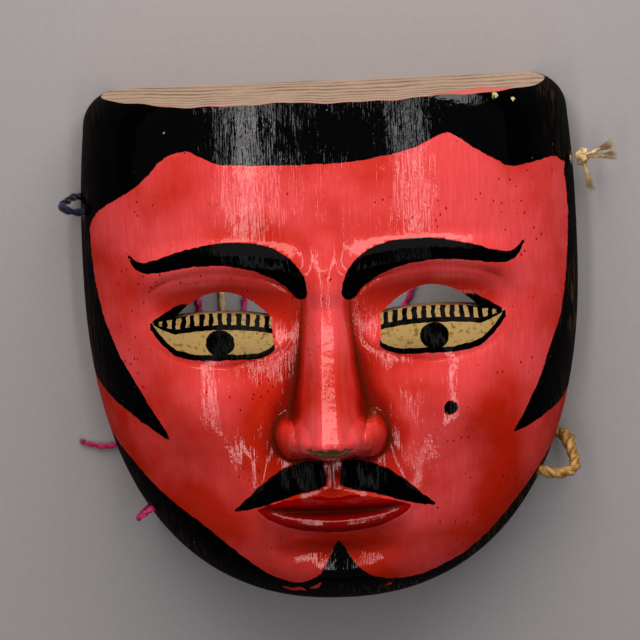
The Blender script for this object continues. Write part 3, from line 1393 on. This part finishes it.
BROW = [(8.5, 25.5, 2.6), (11, 30.4, 3.9), (16.5, 35.4, 4.8), (25, 38.6, 4.6), (37, 39.6, 3.7), (49, 38, 2.9),
        (59, 35.4, 2.2), (65.5, 35, 1.5), (70.5, 40, 0.2)]
MOUSTACHE = [(3, -38.8, 4.2), (8.5, -39.6, 5.2), (15, -41.4, 5), (22, -45, 3.9), (28.5, -49, 2.4),
             (35.5, -52.6, 0.4)]
BEARD = [(-92, -22), (-84, -27), (-73.5, -36), (-61.6, -47.7), (-46.6, -59.4), (-35.2, -69.9), (-26, -77.6),
         (-16, -81.4), (-8, -78.6), (-3, -71.5), (0.2, -64.8), (1.4, -64.8), (5, -71.5), (10, -77.5),
         (18, -81.2), (28, -81.4), (37, -78.4), (47.7, -72.6), (59, -62.1), (66.6, -53.7), (72.5, -46.7),
         (80, -38), (90, -28)]
BEAUTY_SPOT = (42, -17, 2.5)
RED_CHIPS = [[(-20.5, -84.2, 0.3), (-17.5, -85.4, 0.8), (-14, -84.9, 0.9), (-12.4, -85.8, 0.3)],
             [(-10.6, -84.2, 0.4), (-8, -83.2, 0.8), (-6.6, -81.4, 0.3)],
             [(16.5, -84.6, 0.3), (18, -84.2, 0.7)]]

fringe = above(px, py, FRINGE)
sideburns = np.where(px < 0, dabs(outside_x, py, LEFT_SIDEBURN), dabs(outside_x, py, RIGHT_SIDEBURN))
brow_paint = dabs(outside_x, py + 0.7 * (px > 0), BROW)
moustache = np.minimum(dabs(outside_x, py, MOUSTACHE), outside_x - np.interp(py, [-46, -35], [1.9, 3.3]))
beard = -above(px, py, BEARD)
spot = BEAUTY_SPOT[2] - np.hypot(px - BEAUTY_SPOT[0], py - BEAUTY_SPOT[1])

# %% [markdown]
# ## The painted eyes
#
# Under each slit the painter laid a strip of lashes, cream with black bars, then a black line, and the
# white of the eye with a big pupil. The eye has its own coordinates: X across it, outwards from its middle,
# and Y up from the eye line. A line thinner than the mesh's own faces can't be stored as a distance to
# itself, so only smooth coordinates are stored, and the material draws the bars and lines from them.

# %% Eye coordinates
EYE_INNER, EYE_OUTER = -17.6, 25.6
LASH_HEIGHT = 4.1
LASH_LINE = 1.5
WHITE_DEPTH = 10.2
PUPIL = (1.0, 4.6)

eye_x = outside_x - EYE / MM
eye_y = py - EYE_Y / MM
sill_ends = (SLIT_SILL - SLIT_SAG) / MM
sill_slope = 2 * SLIT_SAG / SLIT_HALF
within = SLIT_SILL / MM - SLIT_SAG / MM * (eye_x / (SLIT_HALF / MM)) ** 2
sill_line = np.where(eye_x > SLIT_HALF / MM, sill_ends - sill_slope * (eye_x - SLIT_HALF / MM), within)
lash_height = LASH_HEIGHT * np.clip((EYE_OUTER + 0.6 - eye_x) / 9, 0.06, 1) ** 0.8
lash_share = (sill_line - eye_y) / lash_height
eye_share = np.clip((eye_x - 3) / (EYE_OUTER - 3), -1, 1)
inner_bulge = np.clip(1 - eye_share**4, 0, 1) ** 0.5
outer_bulge = np.clip(1 - eye_share**2, 0, 1) ** 0.85
bulge = np.where(eye_share < 0, inner_bulge, outer_bulge)
lower_line = sill_line - lash_height - WHITE_DEPTH * bulge
lower_slope = np.where(eye_x > 3, 0.9 * np.clip(eye_share, 0, 1), 0)
eye_low = (eye_y - lower_line) / np.hypot(1, lower_slope)
eye_ends = np.minimum(eye_x - EYE_INNER, EYE_OUTER - eye_x)
near_eye = (np.abs(eye_y) < 26) & (eye_x > -24) & (eye_x < 34)
pupil_y = SLIT_SILL / MM - LASH_HEIGHT - LASH_LINE - PUPIL[1]
pupil = PUPIL[1] - np.hypot((eye_x - PUPIL[0]) * 0.92, eye_y - pupil_y)
corner_height = np.clip((EYE_OUTER + 0.5 - eye_x) * 0.42, 0.0, 4.2)
corner = np.minimum(corner_height - (eye_y - sill_line), eye_y - sill_line + 0.4)
corner = np.minimum(np.minimum(corner, eye_x - 12.5), EYE_OUTER + 0.5 - eye_x)
black = np.max([fringe, sideburns, brow_paint, moustache, beard, spot, pupil, corner], axis=0)
for chip in RED_CHIPS:
    black = np.minimum(black, -dabs(px, py, chip))
store("black_mm", black)
store("lash_share", np.where(near_eye, lash_share, -5))
store("eye_low_mm", np.where(near_eye, eye_low, -20))
store("eye_ends_mm", np.where(near_eye, eye_ends, -20))
store("eye_across_mm", eye_x)

# %% [markdown]
# ## Lips, recesses, edges and chips
#
# The lips are a darker red. Recesses hold dirt, so a cavity measure is stored: how far the surface lies
# below the mean of its surroundings, which is cheap to work out because the face is a formula. Two more
# distances say how far a point of the wall is from the rim, where paint has rubbed off, and how far a point
# of the sawn top is from its painted edge. Chips show bare wood: one along the nose's lower edge and five
# in the fringe.

# %% Lips and wear
LIP_HALF = 27.0
CAVITY_REACH = 9 * MM
DIRT_REACH = 2 * MM
NOSE_CHIP = [(-7, -26.4, 0.5), (-3.5, -27.7, 1.3), (0.5, -28, 1.6), (4.5, -27.8, 1.2), (8.5, -26.6, 0.4)]
FRINGE_CHIPS = [(61.4, 89.6, 1.5), (67.8, 88.2, 1.1), (-54.1, 81.4, 0.8), (-36, 79, 0.4), (20, 84, 0.4)]

mouth_y = (CHIN_Y + MOUTH_LEVEL * THIRD) / MM
lip_share = np.clip(px / LIP_HALF, -1, 1)
lip_line = mouth_y + 0.7 * lip_share**2
lip_taper = np.clip(1 - lip_share**2, 0, 1)
lip_top = lip_line + 6.6 * lip_taper**0.8 - 0.9 * np.exp(-((px / 4) ** 2))
lip_bottom = lip_line - 7.4 * lip_taper**0.65
lips = np.minimum(np.minimum(lip_top - py, py - lip_bottom), LIP_HALF - outside_x)
store("lip_mm", lips)


def below_around(x, y, reach):
    """The mean of the face at six places round a point, less the face there."""
    turns = 2 * np.pi * np.arange(6) / 6
    around = sum(fine_front(x + reach * np.cos(turn), y + reach * np.sin(turn)) for turn in turns) / 6
    return (around - fine_front(x, y)) / MM


held_x, held_y = px * MM * 0.985, np.clip(py * MM, CHIN_Y + 6 * MM, TOP_Y - 7 * MM)
inside_outline = smooth((0.93 - outer_gauge(held_x, held_y)) / 0.1)
store("cavity_mm", below_around(held_x, held_y, CAVITY_REACH) * inside_outline)
dirt = below_around(held_x, held_y, DIRT_REACH) * inside_outline
store("dirt_mm", dirt)
store("off_rim_mm", pz - relief(py * MM) / MM)
edge_z = np.interp(px, face_grid[-1, :, 0] / MM, face_grid[-1, :, 2] / MM)
overrun = 14 * np.exp(-(((px - 56) / 11) ** 2)) - 12 * smooth((outside_x - 66) / 6)
store("below_edge_mm", np.maximum(edge_z - pz, 0) - overrun)
store("rings", rings_passed(px * MM, pz * MM))
rim_wear = smooth((outer_gauge(px * MM, py * MM) - 0.86) / 0.12) * np.where(px > 0, 1, 0.45)
store("rim_wear", rim_wear)
chips = [dabs(px, py, NOSE_CHIP)] + [radius - np.hypot(px - x, py - y) for x, y, radius in FRINGE_CHIPS]
store("chip_mm", np.max(chips, axis=0))

# %% [markdown]
# ## Where the gloss has gone
#
# Handling has dulled the enamel near the rim, dirt has dulled the creases, and the painted eyes, brows,
# moustache and upper lip never had the second coat. A clear coat is one constant of a material, so the dull
# parts need a material of their own, and each face of the mesh is given one or the other. Near the rim the
# change comes where the wall tilts away from the light, so that no reflection shows its border.

# %% Dull faces
DULL_TILT = np.cos(np.radians(35))
DULL_FROM = 0.62
DULL_DIRT = 0.35

face_count = len(mask.data.polygons)
slots, starts, sizes = (np.zeros(face_count, np.int32) for _ in range(3))
mask.data.polygons.foreach_get("material_index", slots)
mask.data.polygons.foreach_get("loop_start", starts)
mask.data.polygons.foreach_get("loop_total", sizes)
loop_points = np.zeros(len(mask.data.loops), np.int32)
mask.data.loops.foreach_get("vertex_index", loop_points)
in_eye = np.minimum(np.minimum(lash_share, eye_low + 2.2), eye_ends + 1)
upper_lip = np.minimum(lips, py - mouth_y - 0.5)
painted_dull = np.max([in_eye, brow_paint + 0.5, moustache + 0.3, spot, corner, upper_lip], axis=0) > -0.2
normals = np.zeros(len(px) * 3, np.float32)
mask.data.vertex_normals.foreach_get("vector", normals)
steep = normals[2::3] < DULL_TILT
dirty = dirt > DULL_DIRT
dull = painted_dull | dirty | (steep & (outer_gauge(px * MM, py * MM) > DULL_FROM))
dull_share = np.add.reduceat(dull[loop_points].astype(float), starts) / sizes
slots[(slots == GLOSS_SLOT) & (dull_share > 0.5)] = DULL_SLOT
mask.data.polygons.foreach_set("material_index", slots)
print("dull faces:", int((slots == DULL_SLOT).sum()), "of", face_count)

# %% [markdown]
# ## Gloss enamel on carved softwood
#
# The real finish is oil-based gloss enamel, brushed on down the face in one thick coat: a saturated coral
# red, hard and shiny. The eye sees three things in it: the colour, darker and browner where the coat pooled
# or dirt gathered, the sharp clear reflection of the coat's own surface, broken into long streaks by the
# brush, and tiny dark pits over the wood's pores. A Principled shader with a constant clear coat gives the
# reflection. Noise stretched down the face gives streaks about half a millimetre apart, drawn a little
# coarser than real bristle marks so that they show.

# %% Noises, and each painted area
BRISTLE = (1.7, 0.11, 0.11)
BROAD_BRISTLE = (0.42, 0.05, 0.05)
EVEN = (1.0, 1.0, 1.0)
NOISES = {
    "hand": (0.33, EVEN, 4.0), "bristle": (1.0, BRISTLE, 3.0), "broad": (1.0, BROAD_BRISTLE, 2.0),
    "patches": (0.03, EVEN, 3.0), "mottle": (0.6, EVEN, 4.0), "dirt": (0.7, EVEN, 5.0),
    "pores": (0.05, EVEN, 1.0), "brushed": (0.07, EVEN, 2.0), "peel": (0.35, EVEN, 3.0),
}
DISTANCES = ("black_mm", "lash_share", "eye_low_mm", "eye_ends_mm", "eye_across_mm", "lip_mm", "cavity_mm",
             "dirt_mm", "off_rim_mm", "rim_wear", "chip_mm")
WOBBLES = {"black_mm": 0.55, "lip_mm": 0.7, "eye_low_mm": 0.35, "eye_ends_mm": 0.3, "chip_mm": 1.9}
WOBBLE = 1.1
EDGE_SOFT = 0.14


def read_surface(node, mm):
    """The stored distances, the noises, and each area: its distance with a wobble, cut off at nought."""
    stored = {name: node("Attribute", out="Fac", attribute_name=name) for name in DISTANCES}
    noise = {}
    for name, (waves, stretch, detail) in NOISES.items():
        place = node("VectorMath", {0: mm, 1: stretch}, operation="MULTIPLY")
        noise[name] = node("TexNoise", {"Vector": place, "Scale": waves, "Detail": detail}, out="Fac")
    wobble = node("MapRange", {"Value": noise["hand"], "To Min": -WOBBLE, "To Max": WOBBLE})
    inside = {}
    for name, amount in WOBBLES.items():
        moved = node("Math", {0: wobble, 1: amount, 2: stored[name]}, operation="MULTIPLY_ADD")
        inside[name] = node(
            "MapRange", {"Value": moved, "From Min": -EDGE_SOFT, "From Max": EDGE_SOFT},
            interpolation_type="SMOOTHSTEP",
        )
    return stored, noise, wobble, inside


# %% The red coat
def red_coat(node, mm, cavity, noise):
    """Streaked by the bristles, more orange lower down, where it is thick, and browner where it pooled."""
    high_up = node("SeparateXYZ", {0: mm}, out="Y")
    run_down = node("MapRange", {"Value": high_up, "From Min": 25.0, "From Max": -45.0, "To Max": 0.09})
    thick = node("Math", {0: noise["patches"], 1: run_down}, operation="ADD")
    colour = linear("#e04e4e")
    for value, low, high, most, way, over in (
        (noise["bristle"], 0.3, 0.7, 1.0, "LINEAR", "#e85b5c"),
        (thick, 0.42, 0.68, 1.0, "LINEAR", "#c42d17"),
        (cavity, 0.0, 1.5, 0.8, "SMOOTHSTEP", "#b5240d"),
        (cavity, 1.2, 4.0, 0.85, "SMOOTHSTEP", "#7d1206"),
    ):
        share = node(
            "MapRange", {"Value": value, "From Min": low, "From Max": high, "To Max": most},
            interpolation_type=way,
        )
        colour = node("Mix", {0: share, 6: colour, 7: linear(over)}, data_type="RGBA")
    return colour


# %% The eye's cream and black
BAR_PITCH = 3.3
BAR_SHARE = 0.5
OUTLINE_WIDE = 2.0


def painted_eye(node, stored, wobble, inside):
    """Cream under the sill, and black on it: bars across the lash strip, a line under it, and an outline."""
    moved = {}
    for name, amount in (("lash_share", 0.1), ("eye_across_mm", 0.9), ("eye_low_mm", 0.5)):
        moved[name] = node("Math", {0: wobble, 1: amount, 2: stored[name]}, operation="MULTIPLY_ADD")
    bar_place = node("Math", {0: moved["eye_across_mm"], 1: 1 / BAR_PITCH}, operation="MULTIPLY")
    bar_share = node("Math", {0: bar_place}, operation="FRACT")
    from_outline = node("Math", {0: moved["eye_low_mm"], 1: 0.4 * OUTLINE_WIDE}, operation="ADD")
    off_outline = node("Math", {0: from_outline}, operation="ABSOLUTE")
    outer, inner = 0.5 * OUTLINE_WIDE + 0.1, 0.5 * OUTLINE_WIDE - 0.1
    on_outline = node("MapRange", {"Value": off_outline, "From Min": outer, "From Max": inner})
    yes = {}
    for name, value, test, limit in (
        ("under the sill", moved["lash_share"], "GREATER_THAN", 0.0),
        ("on a bar", bar_share, "LESS_THAN", BAR_SHARE),
        ("in the strip", moved["lash_share"], "LESS_THAN", 1.02),
        ("past the strip", moved["lash_share"], "GREATER_THAN", 0.95),
        ("above the white", moved["lash_share"], "LESS_THAN", 1 + LASH_LINE / LASH_HEIGHT),
        ("between the ends", stored["eye_ends_mm"], "GREATER_THAN", -0.5),
        ("below the lashes", stored["lash_share"], "GREATER_THAN", 0.9),
    ):
        yes[name] = node("Math", {0: value, 1: limit}, operation=test)
    areas = {}
    for name, first, others in (
        ("cream", yes["under the sill"], (inside["eye_low_mm"], inside["eye_ends_mm"])),
        ("bars", yes["on a bar"], (yes["in the strip"],)),
        ("line", yes["past the strip"], (yes["above the white"],)),
        ("outline", on_outline, (yes["between the ends"], yes["below the lashes"])),
    ):
        for other in others:
            first = node("Math", {0: first, 1: other}, operation="MULTIPLY")
        areas[name] = first
    black = node("Math", {0: areas["bars"], 1: areas["line"]}, operation="MAXIMUM")
    black = node("Math", {0: black, 1: areas["cream"]}, operation="MULTIPLY")
    return areas["cream"], node("Math", {0: black, 1: areas["outline"]}, operation="MAXIMUM")


# %% Dirt, pits and wear
def wear(node, mm, stored, noise):
    """Dirt in the deepest lines, pits over pores, specks of dust, and the coat rubbed off along the rim."""
    depth = node("Math", {0: noise["dirt"], 1: 0.7, 2: stored["dirt_mm"]}, operation="MULTIPLY_ADD")
    dirt = node(
        "MapRange", {"Value": depth, "From Min": 0.5, "From Max": 1.2, "To Max": 0.7},
        interpolation_type="SMOOTHSTEP",
    )
    spots = []
    for stretch, waves, low, high, least, most in (
        ((1.0, 0.6, 0.6), 0.5, 0.36, 0.62, -0.05, 0.15), (EVEN, 0.2, 0.4, 0.7, 0.0, 0.055)
    ):
        place = node("VectorMath", {0: mm, 1: stretch}, operation="MULTIPLY")
        off = node("TexVoronoi", {"Vector": place, "Scale": waves, "Randomness": 1.0}, out="Distance")
        size = node(
            "MapRange",
            {"Value": noise["pores"], "From Min": low, "From Max": high, "To Min": least, "To Max": most},
        )
        spots.append(node("Math", {0: off, 1: size}, operation="LESS_THAN"))
    rub = node("Math", {0: noise["broad"], 1: -9.0, 2: stored["off_rim_mm"]}, operation="MULTIPLY_ADD")
    return dirt, *spots, node("MapRange", {"Value": rub, "From Min": -3.4, "From Max": -3.9})


def shades(node, mm, stored, noise, specks):
    """The eye's mottled cream, the black with brush marks and dust, and the chips' wood, fresher high up."""
    mottled = node("MapRange", {"Value": noise["mottle"], "From Min": 0.54, "From Max": 0.68, "To Max": 0.8})
    high_up = node("SeparateXYZ", {0: mm}, out="Y")
    fresh = node("MapRange", {"Value": high_up, "From Min": 0.0, "From Max": 60.0})
    dry = node("MapRange", {"Value": noise["bristle"], "From Min": 0.5, "From Max": 0.62, "To Max": 0.6})
    held = node("MapRange", {"Value": noise["patches"], "From Min": 0.44, "From Max": 0.58, "To Min": 0.12})
    for factor in (stored["rim_wear"], held):
        dry = node("Math", {0: dry, 1: factor}, operation="MULTIPLY")
    for first, layers in (
        ("#a98e5d", [(mottled, "#6b551c")]),
        ("#050405", [(dry, "#654b33"), (specks, "#8f8980")]),
        ("#5f4d1c", [(fresh, "#cdbf96"), (mottled, "#8a7040")]),
    ):
        colour = linear(first)
        for share, over in layers:
            colour = node("Mix", {0: share, 6: colour, 7: linear(over)}, data_type="RGBA")
        yield colour


# %% The enamel
def enamel(name, coat):
    """Layers from the wood up: red, lips, cream, dirt, pits, black, and the bare places through them all."""
    look, node, mm = new_look(name, Coat_Weight=coat, Coat_Roughness=0.07, Specular_IOR_Level=0.0)
    stored, noise, wobble, inside = read_surface(node, mm)
    cream_area, eye_black = painted_eye(node, stored, wobble, inside)
    black_area = node("Math", {0: eye_black, 1: inside["black_mm"]}, operation="MAXIMUM")
    dirt, pits, specks, rubbed = wear(node, mm, stored, noise)
    bare = node("Math", {0: inside["chip_mm"], 1: rubbed}, operation="MAXIMUM")
    cream, ink, chip_wood = shades(node, mm, stored, noise, specks)
    colour = red_coat(node, mm, stored["cavity_mm"], noise)
    for share, over in (
        (inside["lip_mm"], linear("#8a0605")), (cream_area, cream), (dirt, linear("#54230d")),
        (pits, linear("#8a150c")), (black_area, ink), (rubbed, linear("#7c5f3e")),
        (inside["chip_mm"], chip_wood),
    ):
        colour = node("Mix", {0: share, 6: colour, 7: over}, data_type="RGBA")
    rough = node("MapRange", {"Value": noise["bristle"], "To Min": 0.28, "To Max": 0.42})
    rough = node("Mix", {0: bare, 2: rough, 3: 0.8}, data_type="FLOAT")
    depth = {"From Min": 0.4, "From Max": 0.6, "To Min": 0.02, "To Max": 0.075}
    brushed = node("MapRange", {"Value": noise["brushed"], **depth})
    height = node("Math", {0: noise["bristle"], 1: brushed}, operation="MULTIPLY")
    for layer, rise in (
        (noise["broad"], 0.1), (noise["peel"], 0.12), (black_area, 0.05), (pits, -0.08), (bare, -0.25)
    ):
        height = node("Math", {0: layer, 1: rise, 2: height}, operation="MULTIPLY_ADD")
    bump = node("Bump", {"Height": height, "Distance": MM, "Strength": 1.0})
    return complete(look, Base_Color=colour, Roughness=rough, Normal=bump, Coat_Normal=bump)


# %% [markdown]
# ## Bare softwood, sawn and gouged
#
# The sawn top shows the growth rings from above: pale spring wood between thin brown lines of summer wood,
# grey with handling, and pink where red paint ran over its edge. Inside, the gouged wood is browner from
# wear and sweat, with its grain running down the face. Both are matt, because bare wood has no skin. A wave
# would draw the rings too evenly, so the ring's place is bent by noise before it is turned to a line.


# %% The two bare woods
def sawn_wood():
    """Rings along the cut, grey handling, and paint that ran over the front edge."""
    look, node, mm = new_look("sawn_softwood_end", Roughness=0.85)
    rings, below = (node("Attribute", out="Fac", attribute_name=name) for name in ("rings", "below_edge_mm"))
    fibre_place = node("VectorMath", {0: mm, 1: (0.25, 1.0, 2.2)}, operation="MULTIPLY")
    bend, ragged, blot, fibre = (
        node("TexNoise", {"Vector": place, "Scale": waves, "Detail": detail}, out="Fac")
        for place, waves, detail in (
            (mm, 0.06, 3.0), (mm, 0.4, 3.0), (mm, 0.25, 4.0), (fibre_place, 1.0, 5.0)
        )
    )
    turns = node("Math", {0: ragged, 1: 0.22, 2: rings}, operation="MULTIPLY_ADD")
    turns = node("Math", {0: turns, 1: 2 * np.pi}, operation="MULTIPLY")
    wave = node("Math", {0: turns}, operation="SINE")
    bends = {"From Min": 0.35, "From Max": 0.65, "To Min": 0.9, "To Max": 0.2}
    faint = node("MapRange", {"Value": bend, **bends})
    summer = node("MapRange", {"Value": wave, "From Min": 0.1, "From Max": 0.95, "To Max": faint})
    grey = node("MapRange", {"Value": fibre, "From Min": 0.4, "From Max": 0.7, "To Max": 0.7})
    run = node("Math", {0: blot, 1: 9.0}, operation="MULTIPLY")
    run = node("Math", {0: run, 1: below}, operation="SUBTRACT")
    painted = node(
        "MapRange", {"Value": run, "From Min": 2.4, "From Max": 4.4, "To Max": 0.8},
        interpolation_type="SMOOTHSTEP",
    )
    colour = linear("#b59b85")
    for share, over in ((summer, "#64462d"), (grey, "#857569"), (painted, "#cf5b55")):
        colour = node("Mix", {0: share, 6: colour, 7: linear(over)}, data_type="RGBA")
    height = node("Math", {0: fibre, 1: 0.25}, operation="MULTIPLY")
    height = node("Math", {0: summer, 1: 0.12, 2: height}, operation="MULTIPLY_ADD")
    bump = node("Bump", {"Height": height, "Distance": MM, "Strength": 1.0})
    return complete(look, Base_Color=colour, Normal=bump)


def gouged_wood():
    """Grain down the face, browner in broad patches."""
    look, node, mm = new_look("gouged_softwood", Roughness=0.75)
    grain_place = node("VectorMath", {0: mm, 1: (0.8, 0.045, 0.8)}, operation="MULTIPLY")
    grain = node("TexNoise", {"Vector": grain_place, "Scale": 1.0, "Detail": 5.0}, out="Fac")
    patches = node("TexNoise", {"Vector": mm, "Scale": 0.04, "Detail": 3.0}, out="Fac")
    colour = linear("#8a6239")
    for value, low, high, most, over in (
        (grain, 0.35, 0.65, 1.0, "#c09a6c"), (patches, 0.42, 0.66, 0.8, "#5f4226")
    ):
        share = node("MapRange", {"Value": value, "From Min": low, "From Max": high, "To Max": most})
        colour = node("Mix", {0: share, 6: colour, 7: linear(over)}, data_type="RGBA")
    bump = node("Bump", {"Height": grain, "Distance": 0.2 * MM, "Strength": 1.0})
    return complete(look, Base_Color=colour, Normal=bump)


GLOSS_COAT, DULLED_COAT = 1.0, 0.09

mask.data.materials[GLOSS_SLOT] = enamel("gloss_enamel_on_carved_softwood", GLOSS_COAT)
mask.data.materials[SAWN_SLOT] = sawn_wood()
mask.data.materials[WOOD_SLOT] = gouged_wood()
mask.data.materials[DULL_SLOT] = enamel("dulled_enamel_on_carved_softwood", DULLED_COAT)
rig.ride(mask, "root")
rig.replaces(mask, "mask_body")
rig.slot(mask, "painted_wood")
print("the mask's finishes:", ", ".join(look.name for look in mask.data.materials))

# %% [markdown]
# ## Floor and light
#
# The mask lies on plain pale board. A gloss coat is mostly seen by what it reflects, and here that is two
# tall soft lights, one each side of the camera: they draw the two streaky bands down the forehead. A third,
# larger and softer, stands beyond the top of the head and shapes the nose, brows and lips. A small lamp in
# the hollow stands for the light that comes in round the rim, and lets the ties be seen through the slits.

# %% Floor
FLOOR_SIDE = 3.0

corners = [(-1, -1), (1, -1), (1, 1), (-1, 1)]
floor_mesh = bpy.data.meshes.new("floor")
floor_mesh.from_pydata([(x * FLOOR_SIDE / 2, y * FLOOR_SIDE / 2, 0) for x, y in corners], [], [(0, 1, 2, 3)])
floor = into_scene("floor", floor_mesh)
board, node, board_mm = new_look("matt_painted_board", Roughness=0.9)
speckle = node("TexNoise", {"Vector": board_mm, "Scale": 0.5, "Detail": 3.0}, out="Fac")
grey = node("Mix", {0: speckle, 6: linear("#a19c9d"), 7: linear("#a8a3a4")}, data_type="RGBA")
floor_mesh.materials.append(complete(board, Base_Color=grey))
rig.stage(floor)

# %% Lights
LIGHTS = {
    "left_strip": ((-0.25, -0.02, 0.93), (0.1, 1.3), 2.1, "#fffcfa"),
    "right_strip": ((0.265, -0.02, 0.93), (0.075, 1.3), 1.7, "#fafcff"),
    "top_softbox": ((0.1, 0.75, 0.52), (1.3, 0.7), 9.4, "#fffaf6"),
}
HOLLOW_LAMP = ((0, 30 * MM, 48 * MM), (80 * MM, 25 * MM), 0.02, "#ffffff")
SKY_STRENGTH = 0.065


def area_light(name, place, sides, watts, colour, aim):
    """A flat rectangular light that looks at aim, with its second side along the mask's height."""
    light = bpy.data.lights.new(name, "AREA")
    light.shape = "RECTANGLE"
    light.size, light.size_y = sides
    light.energy = watts
    light.color = linear(colour)[:3]
    into_scene(name, light).matrix_world = facing(place, aim, (0, 1, 0))


for name, (place, sides, watts, colour) in LIGHTS.items():
    area_light(name, place, sides, watts, colour, (0, 0, 40 * MM))
    print(name, "gives", watts, "watts")
area_light("hollow_lamp", *HOLLOW_LAMP, (0, 30 * MM, 0))
world = bpy.data.worlds.new("studio")
world.use_nodes = True
sky = world.node_tree.nodes["Background"].inputs
sky["Color"].default_value = linear("#f2f4f6")
sky["Strength"].default_value = SKY_STRENGTH
bpy.context.scene.world = world
bpy.context.scene.view_settings.view_transform = "Standard"
bpy.context.scene.view_settings.look = "Medium High Contrast"

# %% Sizes, and the last check
size_of_looks = [list(corner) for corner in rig.bounds()]
with open("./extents.json", "w") as kept:
    json.dump({"cad": size_of_frame, "visual": size_of_looks}, kept)
print("visual box in mm:", np.round(np.array(size_of_looks) / MM, 1).tolist())
